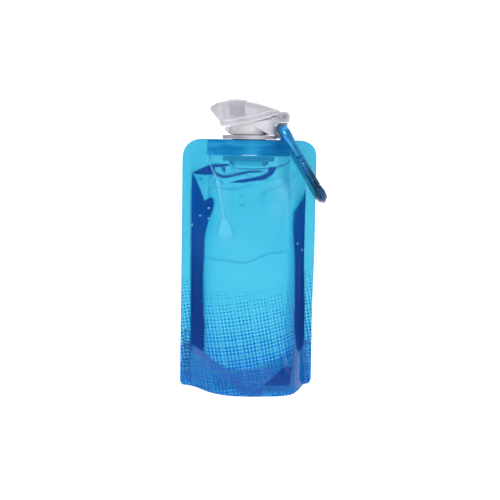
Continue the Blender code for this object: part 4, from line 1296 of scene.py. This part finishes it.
def cap_shell(name):
    cap = turned_solid(name, [
        (0.0, 216.0), (14.4, 216.0), (15.15, 215.7), (15.5, 215.1), (15.6, 214.4),
        (15.6, 206.6), (15.45, 206.4), (15.45, 206.1), (15.6, 205.9), (15.6, 205.1),
        (15.35, 204.82), (14.15, 204.82), (14.15, 213.8), (0.0, 213.8)], 160, corner=0.15)
    strut = plate("tower_strut", [(0.6, 212.4), (14.4, 205.0), (21.5, 205.0),
                                  (21.5, 217.8), (0.6, 214.6)], -15.9, 15.9)
    boolean(strut, cylinder_mm("strut_sweep", 20.2, 204.0, 219.0, steps=172),
            "INTERSECT")
    tower = plate("hinge_tower", (
        [(6.0, 212.4), (20.6, 212.4), (22.2, 213.4), (23.3, 214.4), (24.6, 215.25),
         (30.6, 215.25), (31.3, 215.8)]
        + arc(27.4, 219.3, 4.1, -30, 125, 30)
        + [(20.4, 219.4), (15.0, 216.8), (6.0, 215.2)]), -7.0, 7.0, bevel=0.3)
    boolean(tower, pin_bore("tower_pin_hole", 27.0, 219.3, 1.5, 9.0), "DIFFERENCE")
    boolean(cap, strut, "UNION")
    step = plate("strut_step", [(5.0, 214.0), (21.5, 214.0), (21.5, 219.3),
                                (13.0, 218.2), (5.0, 215.6)], -10.6, 10.6)
    boolean(step, cylinder_mm("step_sweep", 19.9, 203.0, 221.0, steps=156),
            "INTERSECT")
    soften(step, 0.4, 3)
    boolean(cap, step, "UNION")
    boolean(cap, tower, "UNION")
    rib = plate("tower_web", [(9.0, 215.0), (20.0, 215.0), (23.0, 220.5),
                              (19.0, 220.6), (14.6, 218.2), (9.0, 216.3)],
                -0.9, 0.9, bevel=0.25)
    boolean(cap, rib, "UNION")
    catch = plate("lip_catch", [(-15.1, 205.2), (-17.0, 206.0), (-20.15, 209.2),
                                (-20.15, 210.9), (-15.1, 211.1)], -2.0, 2.0,
                  bevel=0.25)
    boolean(cap, catch, "UNION")
    stub = turned_solid("spout_stub", [
        (0, 224.0), (4.9, 224.0), (5.2, 223.7), (5.2, 219.5), (6.3, 219.3),
        (6.3, 216.9), (6.9, 216.0), (7.4, 215.6), (7.4, 214.9), (0, 214.9)], 80,
        corner=0.15)
    stub.data.transform(Matrix.Translation((-10 * MM, 0, 0)))
    boolean(cap, stub, "UNION")
    boolean(cap, cylinder_mm("cap_bore", 14.75, 203.0, 213.8, steps=160), "DIFFERENCE")
    boolean(cap, cylinder_mm("spout_passage", 3.7, 212.3, 226.0, (-10, 0), 70),
            "DIFFERENCE")
    shells = [cap]
    for k in range(2):
        shells.append(helix(f"cap_ridge_{k}", 14.45, 206.3, 0.9, 20 + 180 * k, 6.0,
                            0.75))
    obj = joined(name, shells)
    for poly in obj.data.polygons:
        poly.material_index = 0
    return smooth(obj, 34)


def cap_tones(t, col):
    """Deeper lilac grey at the hinge, and a warm painted highlight on the middle of the collar."""
    x, y, z = t.xyz()
    # painted highlight: a warm light middle on the front of the collar
    front = t.remap(t.math("ABSOLUTE", t.math("ADD", x, 0.004)), 0.002, 0.013, 1.0, 0.0)
    low = t.remap(z, 0.2125, 0.2105)
    col = t.mix(t.math("MULTIPLY", t.math("MULTIPLY", front, low), 0.7), col,
                srgb(228, 226, 222))
    lip = t.remap(x, -0.0154, -0.0168)
    col = t.mix(t.math("MULTIPLY", lip, 0.9), col, srgb(250, 250, 252))
    rear = t.remap(x, 0.0190, 0.0225)
    col = t.mix(t.math("MULTIPLY", rear, 0.75), col, srgb(196, 194, 204))
    return col


cap = cap_shell("screw_cap")
cap.data.materials.clear()
cap.data.materials.append(frosted(
    "cap_mat", srgb(222, 220, 224), srgb(200, 197, 206), srgb(226, 224, 224), 0.88,
    extra=cap_tones))


# ---- the soft spout and its passage -------------------------------------------------------
def soft_material(name, colour, dark, rough=0.5):
    t = Tree(name)
    cloud = t.noise(80, 3, 0.5)
    col = t.mix(t.remap(cloud, 0.3, 0.7), dark, colour)
    dust = t.noise(900, 2, 0.6)
    col = t.mix(t.math("MULTIPLY", t.remap(dust, 0.62, 0.8), 0.25), col,
                tuple(min(1.0, 1.5 * c) for c in colour))
    r = t.remap(t.noise(200, 2, 0.5), 0.3, 0.7, rough - 0.08, rough + 0.10)
    return t.done(t.principled(Base_Color=col, Roughness=r, Sheen_Weight=0.12,
                               Specular_IOR_Level=0.35,
                               Normal=t.bump(dust, 0.15, 0.0004)))


spout = turned("soft_spout", [
    (4.3, 228.8), (5.9, 228.8), (6.5, 228.4), (6.6, 227.6), (6.5, 226.4), (6.25, 225.6),
    (6.2, 225.2), (6.35, 224.0), (6.6, 222.6), (6.85, 221.4), (6.95, 220.8),
    (6.95, 219.6), (5.5, 219.6), (5.5, 224.4), (4.0, 224.4), (3.8, 227.0), (4.0, 228.4)],
    112, soft_material("spout_mat", srgb(108, 121, 143), srgb(94, 107, 130)), (-10, 0),
    0.3)


# ---- the flip lid ------------------------------------------------------------------------
LID_TOP = [(-31.4, 225.6), (-30.6, 226.8), (-29.6, 227.6), (-23.9, 230.2),
           (-18.2, 231.3), (-11.7, 231.8), (-5.1, 231.5), (-1.9, 231.0), (4.6, 229.9),
           (12.8, 227.8), (22.6, 224.8)]
LID_RIM = [(-31.4, 223.8), (-28.8, 221.3), (-24.7, 216.4), (-22.0, 211.7),
           (-20.6, 211.2), (-15.0, 211.7), (-6.4, 213.6), (7.1, 216.4),
           (17.3, 219.9), (22.6, 221.6)]
LID_HALF_W = [(-31.4, 2.0), (-30.6, 3.4), (-29.6, 4.4), (-26.5, 6.4), (-22.0, 8.6),
              (-18.5, 12.4), (-15.0, 15.4), (-12.0, 16.9), (-8.0, 17.6), (4.0, 17.5),
              (12.0, 15.0), (18.0, 12.2), (22.6, 10.6)]
BAND_H = [(-31.4, 0.3), (-24.6, 0.6), (-22.6, 3.4), (-21.0, 4.4), (0.0, 4.4),
          (12.0, 4.8), (18.0, 3.4), (22.6, 1.6)]


def eased(points, x):
    """A smooth monotone reading of a short design table."""
    px = [p[0] for p in points]
    py = [p[1] for p in points]
    n = len(px)
    d = [(py[i + 1] - py[i]) / (px[i + 1] - px[i]) for i in range(n - 1)]
    m = [d[0]] + [0.0 if d[i - 1] * d[i] <= 0 else
                  2 * d[i - 1] * d[i] / (d[i - 1] + d[i])
                  for i in range(1, n - 1)] + [d[-1]]
    i = min(max(int(np.searchsorted(px, x)) - 1, 0), n - 2)
    h = px[i + 1] - px[i]
    t = min(max((x - px[i]) / h, 0.0), 1.0)
    return ((1 + 2 * t) * (1 - t) ** 2 * py[i] + t * (1 - t) ** 2 * h * m[i]
            + t * t * (3 - 2 * t) * py[i + 1] + t * t * (t - 1) * h * m[i + 1])


def lid_rows(height, band):
    """Height shares of one side's rows, with close rows at the band's edge."""
    b = min(0.86, band / height)
    e = min(0.35 / height, b * 0.15, (1 - b) * 0.3)
    low = [b * 0.0, min(0.12 / height, b * 0.1), min(0.5 / height, b * 0.22),
           min(0.9 / height, b * 0.34), b * 0.5, b * 0.7, b - 1.6 * e]
    edge = [b - e, b - 0.5 * e, b, b + 0.5 * e, b + e, b + 1.8 * e]
    start = b + 1.8 * e
    return low, edge, start


def lid_section(x, inner):
    wall = 1.3 if inner else 0.0
    w = eased(LID_HALF_W, x)
    top, rim = eased(LID_TOP, x), eased(LID_RIM, x)
    height = top - rim
    band = min(eased(BAND_H, x), 0.8 * height)
    w_in = max(w - wall, 0.45 * w)
    top_in = max(top - wall, rim + 0.45 * height)
    low, edge, start = lid_rows(height, band)
    out = []
    a0 = math.asin(min(1.0, start ** (1 / 0.62)))
    crown = [a0 + (math.pi / 2 - a0) * (k / 22.0) for k in range(1, 23)]
    shares = [(f, None) for f in low + edge] + [(None, a) for a in crown]
    fade = float(sstep(-24.4, -21.6, x))
    for f, a in shares:
        if a is None:
            s = f ** (1 / 0.62)
            c = math.sqrt(max(0.0, 1 - s * s))
        else:
            s, c = math.sin(a), math.cos(a)
        y = w_in * c ** 0.72 if c > 1e-6 else 0.0
        z = rim + (top_in - rim) * s ** 0.62
        out.append([x, y, z, s ** 0.62])
    if not inner:
        for k, p in enumerate(out):
            if k < len(low) + 2:
                proud = 0.85
            elif k < len(low) + len(edge) - 1:
                proud = 0.85 * (1 - (k - len(low) - 1) / (len(edge) - 2.0))
            else:
                proud = 0.0
            if 1 <= k <= 3:
                proud += 0.30
            p[1] += fade * proud
            r = math.hypot(p[0] + 10.0, p[1] * 1.05)
            if p[3] > 0.80:
                p[2] += 0.85 * float(sstep(8.6, 7.2, r))
                p[2] += 0.18 * math.exp(-((r - 7.0) / 0.5) ** 2)
    return out


def hood(name):
    xs = sorted(set([-31.4, -31.1, -30.7, -30.2] + [round(v, 3) for v in
                np.linspace(-29.6, -21.0, 26)] + [round(v, 3) for v in
                np.linspace(-20.6, 22.6, 96)]))
    shells = []
    for inner in (False, True):
        rows = []
        for x in xs:
            sec = lid_section(max(x, -30.2) if inner else x, inner)
            half = [(-p[1], p[0], p[2]) for p in sec]
            full = half + [(-h[0], h[1], h[2]) for h in half[-2::-1]]
            rows.append([(q[1], q[0], q[2]) for q in full])
        shells.append(rows)
    m = len(shells[0][0])
    n = len(xs)
    verts = [p for rows in shells for row in rows for p in row]
    off = n * m

    def o(i, j):
        return i * m + j

    def q(i, j):
        return off + i * m + j

    faces = []
    for i in range(n - 1):
        for j in range(m - 1):
            faces.append((o(i, j), o(i + 1, j), o(i + 1, j + 1), o(i, j + 1)))
            faces.append((q(i, j), q(i, j + 1), q(i + 1, j + 1), q(i + 1, j)))
        faces.append((o(i, 0), q(i, 0), q(i + 1, 0), o(i + 1, 0)))
        faces.append((o(i, m - 1), o(i + 1, m - 1), q(i + 1, m - 1), q(i, m - 1)))
    for j in range(m - 1):
        faces.append((o(n - 1, j), o(n - 1, j + 1), q(n - 1, j + 1), q(n - 1, j)))
    faces.append(tuple(o(0, j) for j in range(m)))
    faces.append(tuple(q(0, j) for j in range(m - 1, -1, -1)))
    faces.append((o(0, 0), o(0, m - 1), q(0, m - 1), q(0, 0)))
    return recalc(add_object(name, mesh_from(name, verts, faces)))


def lid_shell(name):
    shells = [hood(name)]
    for k, (y0, y1) in enumerate(((-10.0, -7.35), (7.35, 10.0))):
        ear = plate(f"lid_ear_{k}", rounded(
            arc(27, 219.3, 3.3, -110, 70, 28)
            + [(22.4, 223.7), (20.0, 224.3), (14.6, 224.4), (15.4, 220.6),
               (20.0, 219.6)], 0.5, 2),
            y0, y1, bevel=0.35)
        boolean(ear, pin_bore("ear_pin_hole", 27.0, 219.3, 1.5, 11.0), "DIFFERENCE")
        shells.append(ear)
    stub = turned_solid("plug_stub", [(0, 230.9), (2.3, 230.9), (2.3, 228.3),
                                      (0, 228.3)], 48, corner=0.2)
    stub.data.transform(Matrix.Translation((-10 * MM, 0, 0)))
    shells.append(stub)
    shells.append(turned("plug_guide", [(6.6, 230.6), (7.3, 230.6), (7.2, 229.9),
                                        (6.7, 229.9)], 80, at=(-10, 0), corner=0.15))
    return smooth(joined(name, shells), 36)


def paint_rim(obj):
    """Store painted highlight lines along the rim band and round the crown, and the painted shade of the
    greyer band between them.
    """
    co = points_of(obj)
    xs = np.linspace(-31.4, 22.6, 160)
    rim = np.interp(co[:, 0], xs, [eased(LID_RIM, x) for x in xs])
    top = np.interp(co[:, 0], xs, [eased(LID_TOP, x) for x in xs])
    band = np.interp(co[:, 0], xs, [eased(BAND_H, x) for x in xs])
    up = co[:, 2] - rim
    fade = sstep(-23.2, -20.6, co[:, 0]) * sstep(23.0, 20.0, co[:, 0])
    upper = np.exp(-((up - band) / 0.42) ** 2)
    lower = np.exp(-((up - 0.25) / 0.50) ** 2)
    crown = np.hypot(co[:, 0] + 10.0, co[:, 1] * 1.05)
    crown = 0.5 * np.exp(-((crown - 7.6) / 0.6) ** 2) * sstep(1.4, 0.6, top - co[:, 2])
    set_attribute(obj, "line", np.clip(np.maximum(fade * np.maximum(upper, lower),
                                                  crown), 0, 1))
    set_attribute(obj, "band", fade * sstep(0.5, 1.1, up) * sstep(band - 0.4,
                                                                  band - 1.0, up))


def lid_tones(t, col):
    x, y, z = t.xyz()
    # painted shade: the nose is darker
    nose = t.remap(x, -0.0225, -0.0285)
    col = t.mix(t.math("MULTIPLY", nose, 0.65), col, srgb(184, 182, 190))
    rear = t.remap(x, 0.0185, 0.0225)
    col = t.mix(t.math("MULTIPLY", rear, 0.55), col, srgb(196, 195, 204))
    # painted shade on the rim band, and painted highlight lines along its edges and round the crown
    col = t.mix(t.math("MULTIPLY", t.attr("band"), 0.40), col, srgb(196, 195, 205))
    return t.mix(t.math("MULTIPLY", t.attr("line"), 0.85), col, srgb(242, 242, 246))


def lid_solid(t, solid):
    # the painted highlight lines, the nose's painted shade and the band's painted shade are also less
    # see-through
    solid = t.math("ADD", solid, t.math("MULTIPLY", t.attr("line"), 0.28))
    # the nose's painted shade is also less see-through
    nose = t.remap(t.xyz()[0], -0.0225, -0.0285)
    solid = t.math("ADD", solid, t.math("MULTIPLY", nose, 0.30))
    return t.math("ADD", solid, t.math("MULTIPLY", t.attr("band"), 0.10), clamp=True)


lid = lid_shell("flip_hood")
paint_rim(lid)
lid.data.materials.clear()
lid.data.materials.append(frosted(
    "lid_mat", srgb(211, 210, 214), srgb(202, 201, 206), srgb(216, 214, 216), 0.36,
    tint=(0.93, 0.935, 0.95), extra=lid_tones, more=lid_solid))
for poly in lid.data.polygons:
    poly.material_index = 0


# ---- the carabiner, laid flat (+X along it, +Y across) and then hung on the eyelet --------
HUNG = Matrix.Translation((25.3 * MM, 0.0, 209.9 * MM)) @ Matrix.Rotation(
    math.radians(58.0), 4, "Y")
BAR_Y = 14.0


def bar_radius(s, y):
    """Slimmer inside the eyelet, fullest at the shoulders beside it."""
    if s > 30.0:
        return 3.3
    past = float(sstep(3.2, 6.2, abs(y)))
    return 2.9 + 1.55 * past * (1.0 - 0.74 * float(sstep(3.0, 17.0, s)))


def bar_section(a, q, base):
    """Radius of the body's bar at angle a (0 faces outward), q runs 0..1 along it."""
    low = float(sstep(0.66, 0.76, q) * sstep(0.995, 0.955, q))
    r = base - 0.16 * math.cos(2 * a) ** 2 * (1 - low)
    lobes = 0.55 * abs(math.sin(a)) ** 3
    flute = math.exp(-((abs(a) - 0.80) / 0.20) ** 2)
    return r + low * (lobes - 1.05 * flute)


def bar(name):
    path = [(24.0, -14.0), (21.5, -14.0), (19.0, -14.0)]
    for k in range(61):                      # a squarish upper bend
        a = math.radians(268 - 176 * k / 60)
        c, d = math.cos(a), math.sin(a)
        path.append((14 - 14 * abs(c) ** 0.72, math.copysign(14 * abs(d) ** 0.72, d)))
    path += [(15.5, 14.0), (18.5, 14.0), (22.0, 14.0), (26.0, 14.0), (30.0, 14.0),
             (34.0, 14.0), (38.0, 14.0), (44.0, 14.0), (49.0, 14.0)]
    path += arc(52, 0, 14, 90, -86, 64)
    pts = [np.array(p, float) for p in path]
    run = [0.0]
    for a, b in zip(pts, pts[1:]):
        run.append(run[-1] + float(np.linalg.norm(b - a)))
    sides = 64
    verts, faces = [], []
    n = len(pts)
    for i, p in enumerate(pts):
        d = pts[min(i + 1, n - 1)] - pts[max(i - 1, 0)]
        d /= np.linalg.norm(d)
        out = np.array([-d[1], d[0]])
        for k in range(sides):
            a = 2 * math.pi * k / sides
            a = a - 2 * math.pi if a > math.pi else a
            r = bar_section(a, run[i] / run[-1], bar_radius(*p))
            shrink = 1.0 if 0 < i < n - 1 else 0.93
            side = r * shrink * math.cos(a)
            verts.append((p[0] + side * out[0], p[1] + side * out[1],
                          r * shrink * math.sin(a)))
    for i in range(n - 1):
        for k in range(sides):
            l = (k + 1) % sides
            faces.append((i * sides + k, i * sides + l, (i + 1) * sides + l,
                          (i + 1) * sides + k))
    faces.append(tuple(range(sides - 1, -1, -1)))
    faces.append(tuple(range((n - 1) * sides, n * sides)))
    return recalc(add_object(name, mesh_from(name, verts, faces)))


def upright(name, r, x, y, z0, z1, steps=40, corner=0.0):
    obj = turned_solid(name, [(0, z1), (r, z1), (r, z0), (0, z0)], steps, corner=corner)
    obj.data.transform(Matrix.Translation((x * MM, y * MM, 0)))
    return obj


def lengthwise(name, r, s0, s1, steps=64, corner=0.35):
    obj = turned_solid(name, [(0, s1), (r, s1), (r, s0), (0, s0)], steps, corner=corner)
    obj.data.transform(Matrix.Translation((0, -BAR_Y * MM, 0))
                       @ Matrix.Rotation(math.radians(90), 4, "Y"))
    return obj


def slab(name, s0, s1, half):
    return plate(name, [(s0, -18.5), (s1, -18.5), (s1, -9.5), (s0, -9.5)], -half, half,
                 "XY")


def carabiner_body(name):
    obj = bar(name)
    cam = []
    for k in range(0, 37):
        phi = -72.0 + 162.0 * k / 36
        reach = 2.5 + 0.7 * float(sstep(18.0, 38.0, phi))
        cam.append((28.0 + reach * math.cos(math.radians(phi)),
                    -14.0 + min(2.45, reach * math.sin(math.radians(phi)))))
    tongue = plate("tongue", [(22.0, -16.3), (27.0, -16.3)] + cam + [(22.0, -11.7)],
                   -1.0, 1.0, "XY")
    boolean(obj, tongue, "UNION")
    nose = plate("nose", rounded([
        (55.0, -16.2), (55.0, -11.8), (51.6, -11.8), (51.6, -15.1), (48.9, -15.1),
        (48.9, -13.5), (48.0, -13.5), (47.4, -14.2), (47.4, -16.2)], 0.25, 2),
        -1.0, 1.0, "XY")
    boolean(obj, nose, "UNION")
    boolean(obj, upright("pivot_hole", 1.15, 28.0, -14.0, -4, 4), "DIFFERENCE")
    return obj


def carabiner_gate(name):
    profile = [(0, 52.3), (3.15, 52.3)]
    for at in (35.5, 34.4):                 # two turned rings past the fork
        profile += [(3.15, at + 0.32), (2.90, at + 0.16), (2.90, at - 0.16),
                    (3.15, at - 0.32)]
    profile += [(3.15, 24.7), (0, 24.7)]
    obj = turned_solid(name, profile, 64, corner=0.3)
    obj.data.transform(Matrix.Translation((0, -BAR_Y * MM, 0))
                       @ Matrix.Rotation(math.radians(90), 4, "Y"))
    end = plate("round_end", [(24.0, -18), (24.0, -10), (28.0, -10)]
                + arc(28.0, -14.0, 3.15, 90, 270, 24) + [(28.0, -18)], -4, 4, "XY")
    boolean(obj, end, "DIFFERENCE")
    boolean(obj, slab("fork", 24.0, 31.8, 1.3), "DIFFERENCE")
    boolean(obj, slab("latch_slot", 46.6, 54.0, 1.3), "DIFFERENCE")
    for low, high in ((-1.75, -1.3), (1.3, 1.75)):      # lengthwise grooves on its face
        groove = plate("face_groove", [(37.4, -18.0), (46.0, -18.0), (46.0, -16.35),
                                       (37.4, -16.35)], low, high, "XY")
        boolean(obj, groove, "DIFFERENCE")
    boolean(obj, lengthwise("spring_bore", 1.45, 30.0, 43.0, 40, 0), "DIFFERENCE")
    boolean(obj, upright("pivot_bore", 1.15, 28.0, -14.0, -4, 4), "DIFFERENCE")
    boolean(obj, upright("latch_bore", 1.05, 50.25, -14.0, -4, 4), "DIFFERENCE")
    return obj


def finish_metal(obj):
    """Store how far along the carabiner each point lies, then hang the piece."""
    smooth(obj, 34)
    co = points_of(obj)
    set_attribute(obj, "along", np.clip(co[:, 0] / 69.0, 0, 1))
    # painted highlight at the top of the bend
    set_attribute(obj, "top_highlight", np.clip(np.exp(-((co[:, 0] + 2.4) / 1.3) ** 2), 0, 1))
    obj.data.transform(HUNG)
    return obj


def anodised():
    """Dyed satin metal, with painted light and shade along it: bright at the top, deeper and greener towards
    the tip.
    """
    t = Tree("anodised_mat")
    along, top_highlight = t.attr("along"), t.attr("top_highlight")
    cloud = t.noise(120, 3, 0.6)
    grain = t.noise(1500, 2, 0.6, stretch=(1.0, 1.0, 0.5))
    scratch = t.noise(260, 2, 0.7, stretch=(0.5, 6.0, 0.3))
    # painted light and shade along the clip: a lit top, a middle and a shaded lower end
    top = t.mix(cloud, srgb(38, 130, 188), srgb(54, 146, 198))
    mid = t.mix(cloud, srgb(22, 106, 162), srgb(30, 118, 172))
    low = t.mix(cloud, srgb(12, 50, 82), srgb(16, 60, 92))
    col = t.mix(t.remap(along, 0.03, 0.36), top, mid)
    col = t.mix(t.remap(along, 0.34, 0.74), col, low)
    col = t.mix(t.math("MULTIPLY", t.remap(scratch, 0.66, 0.80), 0.30), col,
                srgb(120, 186, 222))
    # painted highlight at the top of the bend
    col = t.mix(t.math("MULTIPLY", top_highlight, 0.25), col, srgb(110, 176, 220))
    height = t.math("ADD", t.math("MULTIPLY", grain, 0.5), t.math("MULTIPLY", scratch, 0.5))
    rough = t.remap(t.noise(300, 3, 0.6), 0.3, 0.7, 0.24, 0.38)
    return t.done(t.principled(Base_Color=col, Metallic=0.75, Roughness=rough,
                               Specular_IOR_Level=0.5,
                               Normal=t.bump(height, 0.14, 0.0003)))


metal = anodised()
clip = finish_metal(carabiner_body("clip_body"))
clip.data.materials.clear()
clip.data.materials.append(metal)
clip_gate = finish_metal(carabiner_gate("clip_gate"))
clip_gate.data.materials.clear()
clip_gate.data.materials.append(metal)
for obj in (clip, clip_gate):
    for poly in obj.data.polygons:
        poly.material_index = 0


# ---- small steel and silicone pieces keep their construction shape ------------------------
def steel_material():
    t = Tree("steel_mat")
    brush = t.noise(900, 2, 0.6, stretch=(1.0, 0.08, 1.0))
    stain = t.noise(240, 3, 0.5)
    col = t.mix(stain, srgb(176, 178, 182), srgb(206, 207, 210))
    rough = t.remap(brush, 0.3, 0.7, 0.22, 0.38)
    return t.done(t.principled(Base_Color=col, Metallic=1.0, Roughness=rough,
                               Normal=t.bump(brush, 0.12, 0.0002)))


STEEL = steel_material()
WHITE_SOFT = soft_material("white_silicone_mat", srgb(226, 228, 232),
                           srgb(208, 210, 216), 0.55)


def repaint(node, mat):
    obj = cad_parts[node]
    obj.data.materials.clear()
    obj.data.materials.append(mat)


for node in ("lid_hinge_pin", "gate_pivot_pin", "gate_latch_pin", "gate_plunger"):
    repaint(node, STEEL)
for node in ("cap_seal_ring", "lid_plug_seal"):
    repaint(node, WHITE_SOFT)


def return_spring(name):
    """The gate's compression spring, with a closed turn at each end."""
    turns, per = 8, 24
    path = []
    for i in range(turns * per + 1):
        turn = i / per
        open_turns = min(max(turn - 1.0, 0.0), turns - 2.0)
        s = 37.3 + 0.42 * (turn - open_turns) + (5.2 - 0.84) * open_turns / (turns - 2.0)
        a = 2 * math.pi * turn
        path.append((s, -BAR_Y + 0.95 * math.cos(a), 0.95 * math.sin(a)))
    obj = sweep(name, path, 0.2, 8)
    obj.data.transform(HUNG)
    return smooth(obj, 60)


spring = return_spring("return_spring")
spring.data.materials.clear()
spring.data.materials.append(STEEL)
for poly in spring.data.polygons:
    poly.material_index = 0


# ---- what each piece rides on ---------------------------------------------------------
def flatten_weights(obj, side):
    """How far each point of a wall follows its body as the pouch is pressed flat."""
    co = points_of(obj)
    away = np.abs(co[:, 1])
    w = np.clip((away - 0.8) / 32.0, 0, 1) * sstep(189.0, 150.0, co[:, 2])
    set_attribute(obj, "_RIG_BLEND", w)


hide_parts("front_film_panel")
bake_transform(front, "root", "front_wall", (0, 0, 0), (0, -0.03, 0))
flatten_weights(front, -1)
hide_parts("back_film_panel")
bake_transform(back, "root", "back_wall", (0, 0, 0), (0, 0.03, 0))
flatten_weights(back, 1)
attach(gusset, "root")
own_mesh(gusset)
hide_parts("base_gusset_panel")

for piece, body, node, slot_name in (
        (base, "root", "spout_fitment", "blue_translucent_plastic"),
        (tether, "tether", "tether_ring", "ring_plastic"),
        (cap, "cap", "cap_body", "frosted_plastic"),
        (spout, "cap", "drinking_spout", "grey_silicone"),
        (lid, "lid", "flip_lid", "frosted_lid_plastic"),
        (clip, "carabiner", "carabiner_body", "blue_anodised_aluminium"),
        (clip_gate, "gate", "carabiner_gate", "blue_anodised_aluminium")):
    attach(piece, body)
    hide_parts(node)

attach(spring, "gate")                 # it rides on the gate; the real spring shortens as the plunger comes in
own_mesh(spring)
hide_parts("gate_spring")

# ---- stage and light --------------------------------------------------------------
def floor_and_backdrop():
    """One pale sheet: a floor that rises behind the bottle."""
    profile = [(-3.0, 0.0), (1.6, 0.0)]
    profile += [(1.6 + 0.9 * math.sin(a), 0.9 - 0.9 * math.cos(a))
                for a in np.linspace(0.1, math.pi / 2, 14)]
    profile += [(2.5, 4.5)]
    verts, faces = [], []
    for x in (-5.0, 5.0):
        verts += [(x / MM, y / MM, (z - 0.0002) / MM) for y, z in profile]
    n = len(profile)
    for i in range(n - 1):
        faces.append((i, n + i, n + i + 1, i + 1))
    obj = add_object("studio_floor", mesh_from("studio_floor", verts, faces))
    obj.data.shade_smooth()
    t = Tree("studio_white")
    grain = t.noise(30, 2, 0.5)
    colour = t.mix(grain, (0.86, 0.865, 0.87), (0.90, 0.90, 0.90))
    gloss = t.principled(Base_Color=colour, Roughness=0.8,
                         Emission_Color=(1.0, 1.0, 1.0), Emission_Strength=0.80)
    obj.data.materials.append(t.done(gloss))
    return obj


def area_light(name, place, target, size, power, colour=(1, 1, 1)):
    data = bpy.data.lights.new(name, "AREA")
    data.shape = "RECTANGLE"
    data.size, data.size_y = size
    data.energy = power
    data.color = colour
    obj = bpy.data.objects.new(name, data)
    SCENE.collection.objects.link(obj)
    obj.location = place
    direction = Vector(target) - Vector(place)
    obj.rotation_euler = direction.to_track_quat("-Z", "Y").to_euler()
    return obj


floor_and_backdrop()
area_light("key_softbox", (-0.9, -1.0, 1.15), (0, 0, 0.12), (0.9, 0.9), 13.0)
area_light("side_softbox", (1.25, -0.55, 0.55), (0, 0, 0.12), (0.35, 1.1), 5.0)
area_light("top_softbox", (0.0, 0.15, 1.5), (0, 0, 0.1), (1.2, 0.9), 7.0)
world = bpy.data.worlds.new("studio")
world.use_nodes = True
sky = world.node_tree.nodes["Background"]
sky.inputs["Color"].default_value = (0.93, 0.95, 1.0, 1.0)
sky.inputs["Strength"].default_value = 0.34
SCENE.world = world
SCENE.view_settings.view_transform = "Standard"
SCENE.cycles.transparent_max_bounces = 32
SCENE.cycles.max_bounces = 10
